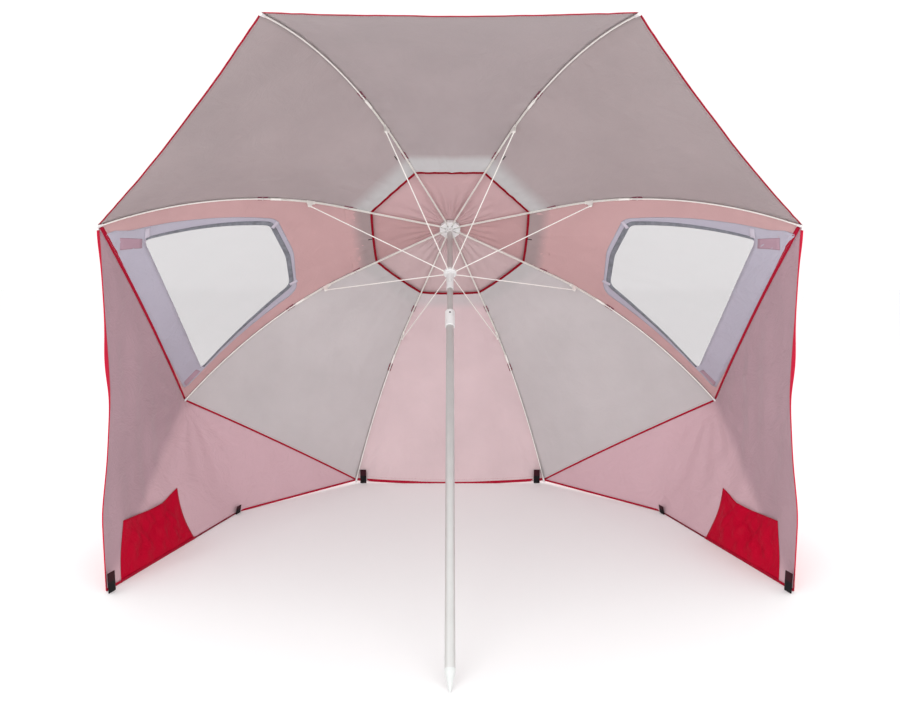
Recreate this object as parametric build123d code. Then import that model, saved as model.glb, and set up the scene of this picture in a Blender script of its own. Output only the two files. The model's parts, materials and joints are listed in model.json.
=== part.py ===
"""Shelter umbrella: eight arched ribs on a leaning two-piece pole, with side walls and windows.

Most of it is drawn in the canopy's own frame: the origin is on the pole axis in the plane of the rib
pivots, +Z leaves the hub away from the ground, and the pole runs down -Z. Sector angles are measured
from +X towards +Y, which is the low side of the leaning canopy. The lean then lays the canopy's low rim
on the ground. Lengths are in millimetres.
"""
from build123d import *
import os
from math import atan2, cos, degrees, hypot, radians, sin, tan

# ---- Driving dimensions ------------------------------------------------------------------------
# Stance
LEAN = 47.93                # the pole's angle from the vertical
HUB_AT = (0, 482.8, 1203.2)  # rib pivot plane on the pole axis, above the middle of the footprint
POLE_REACH = 1793.5         # hub origin to the tip of the spike, along the pole

# Rib arch, in the plane of a rib: distance from the pole axis, and drop below the pivots
RIB_COUNT = 8
PIVOT_RADIUS = 21.0
BEND_AT = (468.2, 84.5)     # where the inner channel begins to arch
FERRULE_AT = (702.7, 159.0)
TIP_AT = (1200.0, 558.6)
CHANNEL = (5.0, 6.0)        # width and height of the inner rib's section
CHANNEL_GROOVE = (3.0, 4.2) # open below
ROD_RADIUS = 2.4
FERRULE = (4.6, 40.0)       # radius and length
TIP_CAP = (4.2, 16.0, 4.6)  # sleeve radius and length, and ball radius

# Bracket that holds a stretcher under a rib
SADDLE_REACH = 16.0         # each way along the rib
SADDLE_LOW, SADDLE_HIGH = -6.0, 3.6     # its faces, measured up from the rib's line
BRACKET_WIDTH = 7.6
BRACKET_GAP = 4.6           # room between its cheeks
BRACKET_SPOT = 0.45         # where it sits along the inner arc
RIVET_RADIUS = 1.45
RIVET_LENGTH = 9.0

# Stretchers and runner
STRETCHER_PIVOT = (580.0, 135.0)
RUNNER_PIVOT_DROP = 270.0   # twice the drop of the stretcher pivot, so that the two links match
STRETCHER_RADIUS = 2.0
EYE_RADIUS = 3.2
EYE_WIDTH = 3.6
STRETCHER_FLAT = (12.0, 2.6)   # flattened end: length and half height
WIRE_RADIUS = 1.2
WIRE_GAP = 0.05             # radial running clearance on the wires and rivets

# Pole
UPPER_TUBE = (11.0, 9.8, 1560.0)      # outer radius, inner radius, lowest point
LOWER_TUBE = (14.0, 12.2, 520.0, 1738.0)   # outer and inner radius, top and lowest point
LOWER_NECK = (13.6, 558.5)  # the lower tube's reduced top, which the collar covers
COLLAR = (18.0, 482.0, 557.5)         # radius, top and lowest point
COLLAR_SLIT = (2.0, 35.0, 17.0)       # width, length, and middle below the collar's top
SLIDE_GAP = 0.06            # radial clearance of what slides on the upper tube
SPIKE_TIP_RADIUS = 2.0
SPIKE_FLANGE = 8.0
SPIKE_PLUG = 30.0           # the part of the spike inside the lower tube
BUTTON_RADIUS = 4.0
BUTTON_GAP = 0.08
BUTTON_DROP = 500.0         # below the hub's origin
BUTTON_FACES = (13.9, 18.6) # its ends, measured out from the pole axis
BORE_END = 10.5             # where the button's bore stops inside the collar

# Hub
HUB_RADIUS = 43.5
HUB_FLOOR, HUB_SLOT_TOP, HUB_TOP = -9.0, 4.0, 7.0
HUB_NECK = (15.0, -26.0)    # radius and lowest point of the sleeve round the tube
HUB_SCALLOP = (47.5, 7.0)   # centre and radius of the notches between the ribs
SLOT_WIDTH = 6.2
SLOT_ROOT = 16.5
PLUG_RADIUS = 9.4           # of the cap's stem inside the tube
HUB_CAP = (32.0, 3.5)       # plate radius and thickness
HUB_DOME = (30.0, 27.0, 22.0)   # foot radius, ball radius, and how deep the ball's centre lies

# Runner and its thumb catch
RUNNER_RING = (25.5, -277.0, -264.5)    # radius, low and high
RUNNER_LIP = (16.0, 3.0)    # radius and height
RUNNER_SLEEVE = (13.8, -360.6)          # radius and lowest point
RUNNER_SLOT = (17.3, -274.0, 4.8)       # root, floor and width of the stretchers' slots
CATCH_PIVOT = (17.6, -322.0)            # out from the pole axis, and height
CATCH_REACH = 13.0          # each way from its pivot
CATCH_WIDTH = 7.6
CATCH_HALF_GAUGE = 1.3
CATCH_RIVET = (1.0, 12.0)               # radius and length

# Fabric
CLOTH = 0.6                 # thickness of every fabric solid
PANEL_LIFT = 5.4            # panel's inner face above the ribs' centre line
SEAM_GAP = 0.3              # each panel stops this short of the rib plane
VENT_RADIUS = 340.0         # corners of the octagonal vent
PANEL_RIM = 1196.0          # corners of the rim
CAP_RIM = 458.0             # corners of the vent cap
CAP_FLAT = 46.0             # corners of its level middle
CAP_LEVEL = 8.0             # of the middle, above the rib pivots
CAP_HOLE = 12.0             # radius of its hole over the pole
RIM_CLEARANCE = 8.0         # between the canopy's rim and the side walls' upper edge

# Where the right side wall meets the ground, and its front edge, in the row frame
CORNER_FRONT = (1117.0, -313.3, 0.0)
CORNER_MIDDLE = (906.0, 423.7, 0.0)
FRONT_EDGE = [(1114.0, -313.3, 264.0), (1111.0, -232.3, 540.0)]
CREASE_GAP = 1.5            # between the front and the rear part of a side wall
POCKET = [(84, 8), (440, 8), (462, 209), (354, 181), (300, 179)]
POCKET_DEPTH = 5.0
LOOP = (30.0, 70.0, 4.0, 1.2)           # webbing loop: width, height, thickness, webbing gauge
LOOP_INSET = 9.0            # the loops hang this far inside the hem
LOOP_ALONG = (26.0, -40.0)  # along the hem, from the front corner and from the middle
LOOP_RISE = 0.3
BACK_LOOP_STEP = (22.0, 14.0)   # from the low tip, towards the middle and the front
WALL_BACK_STEP = (24, -12, -2)  # from the low tip to the wall's last corner

# Windows in the side panels: distance out from the pole and height up the lean
WINDOW = [(1033, 323), (705, 175), (660, 0), (668, -155), (1029, -362)]
WINDOW_ROUND = [8, 45, 200, 60, 8]
TRIM = [(1099, 404), (680, 190), (630, 10), (650, -205), (1091, -404)]
TRIM_ROUND = [10, 60, 200, 70, 10]
WINDOW_LAP = 12.0           # of the film behind the panel's opening
FAR = 900                   # longer than any piece, for cutting tools

HALF_SECTOR = 180.0 / RIB_COUNT
LEANING = Location(HUB_AT, (-LEAN, 0, 0))


# ---- Frame helpers -----------------------------------------------------------------------------
def rib_angle(index):
    return HALF_SECTOR + 2 * HALF_SECTOR * index


def radial_plane(angle):
    """The upright plane through the pole axis at a sector angle: x is radial, y is up the pole."""
    a = radians(angle)
    return Plane(origin=(0, 0, 0), x_dir=(cos(a), sin(a), 0), z_dir=(sin(a), -cos(a), 0))


def in_sector(shape, angle):
    return radial_plane(angle).location * shape


def save(node, *solids):
    """Write one node. Its pieces stay separate solids."""
    placed = [LEANING * s for s in solids]
    export_step(placed[0] if len(placed) == 1 else Compound(children=placed), f"parts/{node}.step")


def save_level(node, *solids):
    """Write a node that is already drawn in the row frame."""
    export_step(solids[0] if len(solids) == 1 else Compound(children=list(solids)), f"parts/{node}.step")


def to_row(x, y, z):
    return LEANING * Pos(x, y, z)


def disc(radius, low, high):
    return Pos(0, 0, low) * Cylinder(radius, high - low, align=(Align.CENTER, Align.CENTER, Align.MIN))


def cross_pin(x, y, radius, width):
    """A cylinder square to the radial plane's drawing, centred on it."""
    return Pos(x, y, 0) * Cylinder(radius, width)


def slab(x0, x1, y0, y1, width):
    return Pos((x0 + x1) / 2, (y0 + y1) / 2, 0) * Box(x1 - x0, y1 - y0, width)


# ---- The rib's line ----------------------------------------------------------------------------
ROOT_AT = (PIVOT_RADIUS, 0.0)
ROOT_RAD = atan2(BEND_AT[1], BEND_AT[0] - PIVOT_RADIUS)


def down(point):
    return (point[0], -point[1])


def direction(slope):
    return (cos(slope), -sin(slope))


def arch_end_slope(start, end, slope):
    chord = atan2(end[1] - start[1], end[0] - start[0])
    return 2 * chord - slope


MID_RAD = arch_end_slope(BEND_AT, FERRULE_AT, ROOT_RAD)
TIP_RAD = arch_end_slope(FERRULE_AT, TIP_AT, MID_RAD)
ROOT_LINE = Line(down(ROOT_AT), down(BEND_AT))
INNER_ARC = TangentArc(down(BEND_AT), down(FERRULE_AT), tangent=direction(ROOT_RAD))
OUTER_ARC = TangentArc(down(FERRULE_AT), down(TIP_AT), tangent=direction(MID_RAD))
RIB_SPANS = [ROOT_LINE, INNER_ARC, OUTER_ARC]


def band(spans, low, high, width):
    """A strip that follows the rib's line, between two offsets from it, square to the drawing."""
    pieces = []
    for span in spans:
        edges = []
        for offset in (low, high):
            points = []
            for u in (0, 0.5, 1):
                p = span @ u
                t = span % u
                points.append(Vector(p.X - t.Y * offset, p.Y + t.X * offset))
            if span is ROOT_LINE:
                edges.append(Line(points[0], points[2]))
            else:
                edges.append(ThreePointArc(*points))
        inner, outer = edges
        outline = [inner, Line(inner @ 1, outer @ 1), outer, Line(outer @ 0, inner @ 0)]
        pieces.append(extrude(make_face(outline), amount=width / 2, both=True))
    joined = pieces[0]
    for piece in pieces[1:]:
        joined += piece
    return joined


def octagon_wire(level, radius):
    """A wire bent to an octagon whose flats cross the rib planes at the pivot radius."""
    corner = PIVOT_RADIUS / cos(radians(HALF_SECTOR))
    length = 2 * PIVOT_RADIUS * sin(radians(HALF_SECTOR)) / cos(radians(HALF_SECTOR))
    wire = None
    for index in range(RIB_COUNT):
        span = in_sector(cross_pin(PIVOT_RADIUS, level, radius, length), rib_angle(index))
        a = radians(rib_angle(index) + HALF_SECTOR)
        ball = Pos(corner * cos(a), corner * sin(a), level) * Sphere(radius)
        wire = span + ball if wire is None else wire + span + ball
    return wire


# ---- Pole --------------------------------------------------------------------------------------
def facing(shape):
    """Turn a piece drawn on +X so that it faces the open front of the shelter."""
    return Rot(0, 0, -90) * shape


def pole():
    outer, inner, low = UPPER_TUBE
    upper = disc(outer, -low, 3.0) - disc(inner, -low - 1, 4.0)
    save("upper_tube", upper)
    outer, inner, top, low = LOWER_TUBE
    neck, neck_end = LOWER_NECK
    lower = disc(outer, -low, -neck_end) + disc(neck, -neck_end, -top)
    save("lower_tube", lower - disc(inner, -low - 1, -top + 1))

    plug = disc(inner, -low, -low + SPIKE_PLUG)
    shoulder = -low - SPIKE_FLANGE
    flange = disc(outer, shoulder, -low)
    cone = Pos(0, 0, shoulder) * Rot(180, 0, 0) * Cone(
        outer, SPIKE_TIP_RADIUS, POLE_REACH + shoulder, align=(Align.CENTER, Align.CENTER, Align.MIN))
    save("ground_spike", plug + flange + cone)

    radius, top, low = COLLAR
    collar = disc(radius, -low, -top)
    collar = chamfer(collar.edges().filter_by(GeomType.CIRCLE), 1.2)
    collar -= disc(UPPER_TUBE[0] + SLIDE_GAP, -low - 1, -top + 1)
    collar -= disc(neck, -low - 1, -LOWER_TUBE[2])
    collar -= facing(Pos(radius, 0, -BUTTON_DROP) * Rot(0, 90, 0) * Cylinder(
        BUTTON_RADIUS + BUTTON_GAP, 2 * (radius - BORE_END)))
    width, length, depth = COLLAR_SLIT
    slit = Pos(radius, 0, -top - depth) * Box(2 * radius, width, length)
    collar -= facing(Rot(0, 0, 37) * slit)
    save("lock_collar", collar)

    near, far = BUTTON_FACES
    button = Cylinder(BUTTON_RADIUS, far - near)
    button = chamfer(button.edges().group_by(Axis.Z)[-1], 0.6)
    save("lock_button", facing(Pos((near + far) / 2, 0, -BUTTON_DROP) * Rot(0, 90, 0) * button))


# ---- Hub and runner ----------------------------------------------------------------------------
def slots(inner_radius, low, high, width, reach):
    cutter = slab(inner_radius, reach, low, high, width)
    return [in_sector(cutter, rib_angle(i)) for i in range(RIB_COUNT)]


def hub():
    neck, neck_low = HUB_NECK
    crown = disc(HUB_RADIUS, HUB_FLOOR, HUB_TOP) + disc(neck, neck_low, HUB_FLOOR)
    crown = chamfer(crown.edges().group_by(Axis.Z)[-1], 1.0)
    for slot in slots(SLOT_ROOT, HUB_FLOOR - 1, HUB_SLOT_TOP, SLOT_WIDTH, HUB_RADIUS + 5):
        crown -= slot
    notch, scallop = HUB_SCALLOP
    for index in range(RIB_COUNT):
        a = radians(rib_angle(index) + HALF_SECTOR)
        crown -= Pos(notch * cos(a), notch * sin(a), 0) * Cylinder(scallop, 60)
    crown -= disc(UPPER_TUBE[0], neck_low - 1, 3.0)
    crown -= disc(PLUG_RADIUS, 2, HUB_TOP + 1)
    crown -= octagon_wire(0, WIRE_RADIUS + 0.02)
    save("hub_crown", crown)
    save("hub_wire", octagon_wire(0, WIRE_RADIUS))

    low = CAP_LEVEL + CLOTH + 0.2
    plate, thickness = HUB_CAP
    foot, ball, depth = HUB_DOME
    top = low + thickness
    cap = disc(plate, low, top)
    cap += (Pos(0, 0, top - depth) * Sphere(ball)) & disc(foot, top, top + ball)
    cap += disc(PLUG_RADIUS, -20.0, low)
    save("hub_cap", cap)


def runner():
    radius, low, high = RUNNER_RING
    body = disc(radius, low, high)
    body = chamfer(body.edges().group_by(Axis.Z)[0], 2.5)
    lip, lip_height = RUNNER_LIP
    body += disc(lip, high, high + lip_height)
    body += disc(RUNNER_SLEEVE[0], RUNNER_SLEEVE[1], low)
    root, floor, width = RUNNER_SLOT
    for slot in slots(root, floor, high + 5, width, radius + 5):
        body -= slot
    body -= octagon_wire(-RUNNER_PIVOT_DROP, WIRE_RADIUS + 0.02)

    # ears of the thumb catch, and the window that its nose reaches through
    x, y = CATCH_PIVOT
    rivet_radius, rivet_length = CATCH_RIVET
    between = slab(12.0, x + 9, y - 9, y + 9, CATCH_WIDTH + 0.8)
    ears = slab(12.6, x + 2.6, y - 3.2, y + 3.2, rivet_length) - between
    nose = y + CATCH_REACH
    window = slab(8.0, 16.0, nose - 3.6, nose + 0.4, 5.0)
    body += facing(in_sector(ears, 0))
    body -= disc(UPPER_TUBE[0] + SLIDE_GAP, RUNNER_SLEEVE[1] - 1, high + 10)
    body -= facing(in_sector(window, 0))
    rivet = cross_pin(x, y, rivet_radius, rivet_length)
    body -= facing(in_sector(rivet, 0))
    save("runner_body", body)
    save("runner_wire", octagon_wire(-RUNNER_PIVOT_DROP, WIRE_RADIUS))
    save("catch_rivet", facing(in_sector(rivet, 0)))

    foot = y - CATCH_REACH
    lever = slab(x - CATCH_HALF_GAUGE, x + CATCH_HALF_GAUGE, foot, nose, CATCH_WIDTH)
    lever += cross_pin(x, y, 2.2, CATCH_WIDTH)
    lever += slab(11.3, x, nose - 2.6, nose - 0.6, 4.0)
    lever += slab(x, x + 2.3, foot, foot + 7.0, CATCH_WIDTH)
    lever -= cross_pin(x, y, rivet_radius + WIRE_GAP, rivet_length)
    save("runner_catch", facing(in_sector(lever, 0)))


# ---- Ribs and stretchers -----------------------------------------------------------------------
def rib_parts():
    """One rib in its drawing plane: inner channel, outer rod, ferrule, bracket and rivet."""
    width, height = CHANNEL
    groove_width, groove_height = CHANNEL_GROOVE
    inner_spans = [ROOT_LINE, INNER_ARC]
    channel = band(inner_spans, -height / 2, height / 2, width)
    groove = band(inner_spans, -height / 2 - 1, groove_height - height / 2, groove_width)
    eye = cross_pin(*down(ROOT_AT), EYE_RADIUS, width)
    solid_end = slab(0, PIVOT_RADIUS + 14, -20, 20, 20)
    channel -= groove - solid_end
    channel += eye
    channel -= cross_pin(*down(ROOT_AT), WIRE_RADIUS + WIRE_GAP, width * 2)

    joint = Pos(*down(FERRULE_AT)) * Rot(0, 0, -degrees(MID_RAD))
    radius, length = FERRULE
    ferrule = joint * Rot(0, 90, 0) * Cylinder(radius, length)
    start = Plane(OUTER_ARC @ 0, z_dir=OUTER_ARC % 0)
    rod = sweep(start * Circle(ROD_RADIUS), path=OUTER_ARC)
    full_channel = band(inner_spans, -height / 2, height / 2, width)
    ferrule = ferrule - full_channel - rod

    x, y = down(STRETCHER_PIVOT)
    seat = INNER_ARC @ BRACKET_SPOT
    lay = INNER_ARC % BRACKET_SPOT
    placed = Pos(seat.X, seat.Y) * Rot(0, 0, degrees(atan2(lay.Y, lay.X)))
    saddle = placed * slab(-SADDLE_REACH, SADDLE_REACH, SADDLE_LOW, SADDLE_HIGH, BRACKET_WIDTH)
    lug = 4.5
    cheek = make_face(Polyline((x - lug, y), (x + lug, y), (seat.X + 14, seat.Y - 6),
                               (seat.X - 14, seat.Y + 1), close=True))
    ears = extrude(cheek, amount=BRACKET_WIDTH / 2, both=True) + cross_pin(x, y, lug, BRACKET_WIDTH)
    bracket = saddle + ears - full_channel
    bracket -= placed * slab(-60, 60, -60, -BRACKET_GAP, BRACKET_GAP)
    rivet = cross_pin(x, y, RIVET_RADIUS, RIVET_LENGTH)
    bracket -= rivet
    return {"channel": channel, "rod": rod, "ferrule": ferrule, "bracket": bracket, "rivet": rivet}


def tip_cap():
    end = OUTER_ARC @ 1
    tangent = OUTER_ARC % 1
    along = Plane(end, z_dir=tangent)
    sleeve, length, ball = TIP_CAP
    cap = along * (Pos(0, 0, -5 - length / 2) * Cylinder(sleeve, length) + Pos(0, 0, -2.5) * Sphere(ball))
    cap -= sweep(Plane(OUTER_ARC @ 0, z_dir=OUTER_ARC % 0) * Circle(ROD_RADIUS), path=OUTER_ARC)
    return cap


def stretcher_parts():
    near = (PIVOT_RADIUS, -RUNNER_PIVOT_DROP)
    far = down(STRETCHER_PIVOT)
    length = hypot(far[0] - near[0], far[1] - near[1])
    tilt = degrees(atan2(far[1] - near[1], far[0] - near[0]))
    lay = Pos(*near) * Rot(0, 0, tilt)
    flat, half_height = STRETCHER_FLAT
    bar = Pos(length / 2, 0) * Rot(0, 90, 0) * Cylinder(STRETCHER_RADIUS, length - 2)
    near_end = slab(0, flat, -half_height, half_height, EYE_WIDTH)
    far_end = slab(length - flat, length, -half_height, half_height, EYE_WIDTH)
    link = lay * (bar + near_end + far_end)
    link += cross_pin(*near, EYE_RADIUS, EYE_WIDTH) + cross_pin(*far, EYE_RADIUS, EYE_WIDTH)
    link -= cross_pin(*near, WIRE_RADIUS + WIRE_GAP, 20)
    link -= cross_pin(*far, RIVET_RADIUS + WIRE_GAP, 20)
    return link


def frame():
    rib = rib_parts()
    cap = tip_cap()
    link = stretcher_parts()
    for index in range(RIB_COUNT):
        angle = rib_angle(index)
        save(f"rib_{index + 1}", *[in_sector(piece, angle) for piece in rib.values()])
        save(f"rib_tip_{index + 1}", in_sector(cap, angle))
        save(f"stretcher_{index + 1}", in_sector(link, angle))


# ---- Canopy ------------------------------------------------------------------------------------
def wedge(middle, inner, outer, trim):
    """The space between two rib planes, from one corner radius to another."""
    half = radians(HALF_SECTOR)
    gap = trim / cos(half)
    corners = []
    for reach, side in ((inner, 1), (outer, 1), (outer, -1), (inner, -1)):
        corners.append((reach * cos(half), side * (reach * sin(half) - gap)))
    return Rot(0, 0, middle) * extrude(make_face(Polyline(*corners, close=True)), amount=FAR, both=True)


def panel_band(middle, lift):
    """Cloth stretched straight across from rib to rib, following their arch."""
    squeeze = cos(radians(HALF_SECTOR))
    low = flat_profile(lift, squeeze)
    high = flat_profile(lift + CLOTH, squeeze)
    outline = low + high + [Line(low[-1] @ 1, high[-1] @ 1), Line(low[0] @ 0, high[0] @ 0)]
    strip = extrude(make_face(outline), amount=FAR, both=True)
    return in_sector(strip, middle)


def flat_profile(offset, squeeze):
    """The rib's line raised by an offset and drawn in towards the axis, as smooth spans."""
    spans = []
    for span in RIB_SPANS:
        count = 2 if span is ROOT_LINE else 5
        points = []
        for step in range(count):
            u = step / (count - 1)
            p = span @ u
            t = span % u
            points.append(((p.X - t.Y * offset) * squeeze, p.Y + t.X * offset))
        if span is ROOT_LINE:
            spans.append(Line(*points))
        else:
            spans.append(Spline(*points))
    return spans


def mirror_side(points, side):
    """Outline points on a side panel, as distance out from the pole and height up the lean."""
    return [(side * x, -y) for x, y in points]


def prism(points, radii, side):
    corners = mirror_side(points, side)
    wire = FilletPolyline(*corners, radius=radii, close=True)
    return extrude(make_face(wire), amount=FAR, both=True)


def grown(points, amount):
    """The outline pushed out from its middle by about an amount."""
    cx = sum(p[0] for p in points) / len(points)
    cy = sum(p[1] for p in points) / len(points)
    result = []
    for x, y in points:
        reach = hypot(x - cx, y - cy)
        result.append((cx + (x - cx) * (1 + amount / reach), cy + (y - cy) * (1 + amount / reach)))
    return result


PANEL_NAMES = ["back", "low_left", "left", "high_left", "top", "high_right", "right", "low_right"]


def canopy():
    for index, name in enumerate(PANEL_NAMES):
        middle = 90 + 2 * HALF_SECTOR * index
        panel = panel_band(middle, PANEL_LIFT) & wedge(middle, VENT_RADIUS, PANEL_RIM, SEAM_GAP)
        side = {"left": -1, "right": 1}.get(name)
        if side:
            panel -= prism(WINDOW, WINDOW_ROUND, side)
            film = panel_band(middle, PANEL_LIFT - CLOTH) & prism(
                grown(WINDOW, WINDOW_LAP), WINDOW_ROUND, side)
            trim = panel_band(middle, PANEL_LIFT - 2 * CLOTH) & prism(TRIM, TRIM_ROUND, side)
            trim -= prism(WINDOW, WINDOW_ROUND, side)
            save(f"window_{name}", film)
            save(f"window_trim_{name}", trim)
        save(f"canopy_panel_{name}", panel)


def octagon_frustum(low, high, low_radius, high_radius):
    """An eight-sided frustum with its corners in the rib planes."""
    faces = []
    for level, radius in ((low, low_radius), (high, high_radius)):
        corners = []
        for index in range(RIB_COUNT):
            a = radians(rib_angle(index))
            corners.append((radius * cos(a), radius * sin(a), level))
        faces.append(make_face(Polyline(*corners, close=True)))
    return loft(faces, ruled=True)


def vent_cap():
    fall = (CAP_RIM - CAP_FLAT) * tan(ROOT_RAD)
    low = CAP_LEVEL - fall
    skin = octagon_frustum(low, CAP_LEVEL, CAP_RIM, CAP_FLAT)
    skin += octagon_frustum(CAP_LEVEL, CAP_LEVEL + CLOTH, CAP_FLAT, CAP_FLAT - 2)
    skin -= octagon_frustum(low - CLOTH, CAP_LEVEL - CLOTH, CAP_RIM, CAP_FLAT)
    save("vent_cap", skin - disc(CAP_HOLE, low - 1, CAP_LEVEL + 1))


# ---- Side walls --------------------------------------------------------------------------------
def rim_corner(index):
    """The tip of a rib, in the row frame."""
    a = radians(rib_angle(index))
    x, y = down(TIP_AT)
    return Vector(to_row(x * cos(a), x * sin(a), y).position)


def cloth(points, push):
    """A flat piece of cloth through three or more points, given its thickness along a direction."""
    face = make_face(Polyline(*points, close=True))
    return extrude(face, amount=CLOTH, dir=push)


def side_wall():
    """The right side wall's pieces, in the row frame."""
    drop = Vector(0, 0, -RIM_CLEARANCE)
    front, middle, back = rim_corner(7), rim_corner(0), rim_corner(1)
    corner = Vector(*CORNER_FRONT)
    foot = Vector(*CORNER_MIDDLE)
    outward = Vector(1, 0, 0)

    top_front = front + drop
    top_middle = middle + drop
    edge_low, edge_high = (Vector(*p) for p in FRONT_EDGE)
    crease_top = top_middle + Vector(0, -CREASE_GAP, CREASE_GAP)
    crease_foot = corner + Vector(0, 0, CREASE_GAP * 2)
    front_part = cloth([edge_high, crease_top, top_front], outward)
    front_part += cloth([edge_high, edge_low, crease_top], outward)
    front_part += cloth([edge_low, crease_foot, crease_top], outward)

    top_back = back + Vector(*WALL_BACK_STEP)
    lean_out = Vector(0.85, 0.53, 0)
    rear_part = cloth([top_middle, corner, foot], lean_out) + cloth([top_middle, foot, top_back], lean_out)

    hem = (foot - corner).normalized()
    face_out = hem.cross(top_middle - corner).normalized()
    wall = Plane(origin=corner - face_out * 1.0, x_dir=hem, z_dir=-face_out)
    points = [(x, -y) for x, y in POCKET]
    pocket = wall.location * extrude(make_face(Polyline(*points, close=True)), amount=POCKET_DEPTH)
    return {"front": front_part, "rear": rear_part, "pocket": pocket}, hem


def webbing_loop():
    """A flattened loop of webbing standing on its hem, facing +X."""
    width, height, thick, gauge = LOOP
    body = Box(thick, width, height, align=(Align.CENTER, Align.CENTER, Align.MIN))
    gap = Pos(0, 0, gauge) * Box(
        thick - 2 * gauge, width + 2, height - 2 * gauge, align=(Align.CENTER, Align.CENTER, Align.MIN))
    return body - gap


def side_walls():
    pieces, hem = side_wall()
    heading = degrees(atan2(hem.Y, hem.X))
    corner, foot = Vector(*CORNER_FRONT), Vector(*CORNER_MIDDLE)
    loops = []
    inward = Vector(-hem.Y, hem.X, 0) * LOOP_INSET
    for start, step in zip((corner, foot), LOOP_ALONG):
        at = start + hem * step + inward
        loops.append(Pos(at.X, at.Y, LOOP_RISE) * Rot(0, 0, heading - 90) * webbing_loop())
    back = rim_corner(1)
    at = (back.X - BACK_LOOP_STEP[0], back.Y - BACK_LOOP_STEP[1], LOOP_RISE)
    back_loop = Pos(*at) * Rot(0, 0, 90) * webbing_loop()
    nodes = {"side_wall_front": [pieces["front"]], "side_wall_rear": [pieces["rear"]],
             "sand_pocket": [pieces["pocket"]], "stake_loops": loops, "back_loop": [back_loop]}
    for name, solids in nodes.items():
        save_level(f"{name}_right", *solids)
        save_level(f"{name}_left", *[mirror(solid, about=Plane.YZ) for solid in solids])


os.makedirs("parts", exist_ok=True)
pole()
hub()
runner()
frame()
canopy()
vent_cap()
side_walls()
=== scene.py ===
"""The looks of the shelter umbrella: cloth, windows, hems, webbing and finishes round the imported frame.

Lengths are in metres in the row's frame: +Z up, +Y towards the low back rim, +X to the right.
"""

import json
import math

import bmesh
import bpy
import numpy as np
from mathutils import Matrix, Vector

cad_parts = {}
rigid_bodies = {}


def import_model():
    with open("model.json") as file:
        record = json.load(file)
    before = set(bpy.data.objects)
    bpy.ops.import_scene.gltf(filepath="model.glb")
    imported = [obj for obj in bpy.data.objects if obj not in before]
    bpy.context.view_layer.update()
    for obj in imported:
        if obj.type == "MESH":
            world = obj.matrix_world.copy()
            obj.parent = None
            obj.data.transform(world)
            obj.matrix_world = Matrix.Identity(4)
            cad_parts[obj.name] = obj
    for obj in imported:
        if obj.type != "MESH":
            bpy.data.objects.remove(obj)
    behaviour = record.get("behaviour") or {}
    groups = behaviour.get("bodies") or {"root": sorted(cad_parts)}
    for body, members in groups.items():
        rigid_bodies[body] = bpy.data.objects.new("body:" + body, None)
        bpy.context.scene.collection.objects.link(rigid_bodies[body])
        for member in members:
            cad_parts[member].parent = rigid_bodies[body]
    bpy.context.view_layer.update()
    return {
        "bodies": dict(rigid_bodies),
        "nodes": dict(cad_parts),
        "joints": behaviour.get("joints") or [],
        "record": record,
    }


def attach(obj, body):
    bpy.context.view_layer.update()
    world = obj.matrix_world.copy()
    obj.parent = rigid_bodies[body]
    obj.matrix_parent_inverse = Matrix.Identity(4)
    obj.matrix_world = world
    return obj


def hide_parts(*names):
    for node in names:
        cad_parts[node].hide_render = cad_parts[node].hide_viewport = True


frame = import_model()
JOINTS = {j["name"]: j for j in frame["joints"]}
BODY_OF = {n: b for b, ns in frame["record"]["behaviour"]["bodies"].items() for n in ns}

# ---- Driving sizes -----------------------------------------------------------------------------
RIBS = 8
HALF = math.pi / RIBS
PIVOT_R = 0.021
BEND = (0.4682, 0.0845)        # radius and drop where a rib begins to arch
FERRULE = (0.7027, 0.159)
TIP = (1.2, 0.5586)
LIFT = 0.0057                  # cloth above the ribs' centre line
CLOTH = 0.0006
VENT_R = 0.336
FACING_R = 0.450
CAP_R = 0.458
RIM_R = 1.196
SAG = 0.012                    # how far a panel dips between its ribs
RIM_BOW = 0.011                # how far a free rim curves in between its tips
HEM = 0.008                    # width of the folded rims
SIDE_HEM = 0.013               # and of the two side rims and the back one, which are wider
HEM_DEPTH = 0.0022
SPREAD = 0.765                 # a sector's width over its corner radius
HUB_R = 0.046                  # the hub's flat top, which holds the vent cap
BINDING_WIDTH = 0.010
SEAM_WIDTH = 0.011
WINDOW = [(1.033, 0.323), (0.688, 0.166), (0.660, 0.0), (0.668, -0.155), (1.029, -0.362)]
WINDOW_ROUND = [0.008, 0.034, 0.200, 0.055, 0.008]
TRIM = [(1.104, 0.434), (1.050, 0.380), (0.661, 0.181), (0.630, 0.010), (0.650, -0.205), (1.091, -0.404)]
TRIM_ROUND = [0.006, 0.030, 0.045, 0.200, 0.070, 0.010]
WINDOW_MIDDLE = (0.86, -0.01)
WINDOW_LAP = 0.012             # how far the film goes under its trim
PATCH_HIGH = [(1.036, 0.331), (1.044, 0.298), (1.088, 0.338), (1.077, 0.377)]
PATCH_LOW = [(1.035, -0.372), (1.044, -0.350), (1.086, -0.366), (1.085, -0.392)]
TABS = [(0.672, 0.160, 2.4), (0.656, -0.150, 2.9), (1.020, 0.342, 1.9)]      # middle and turn
# Short tapes near the vent: where they lie across their sector, and their inner end's radius
TETHERS = {"high_left": (0.897, 0.442), "high_right": (0.103, 0.442),
           "left": (0.49, 0.345), "right": (0.51, 0.345)}
TIE_AT = (0.433, 0.748)        # radius of the two ties on each rib
PER_SIDE = 60                  # points on each side of a panel's outline
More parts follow.
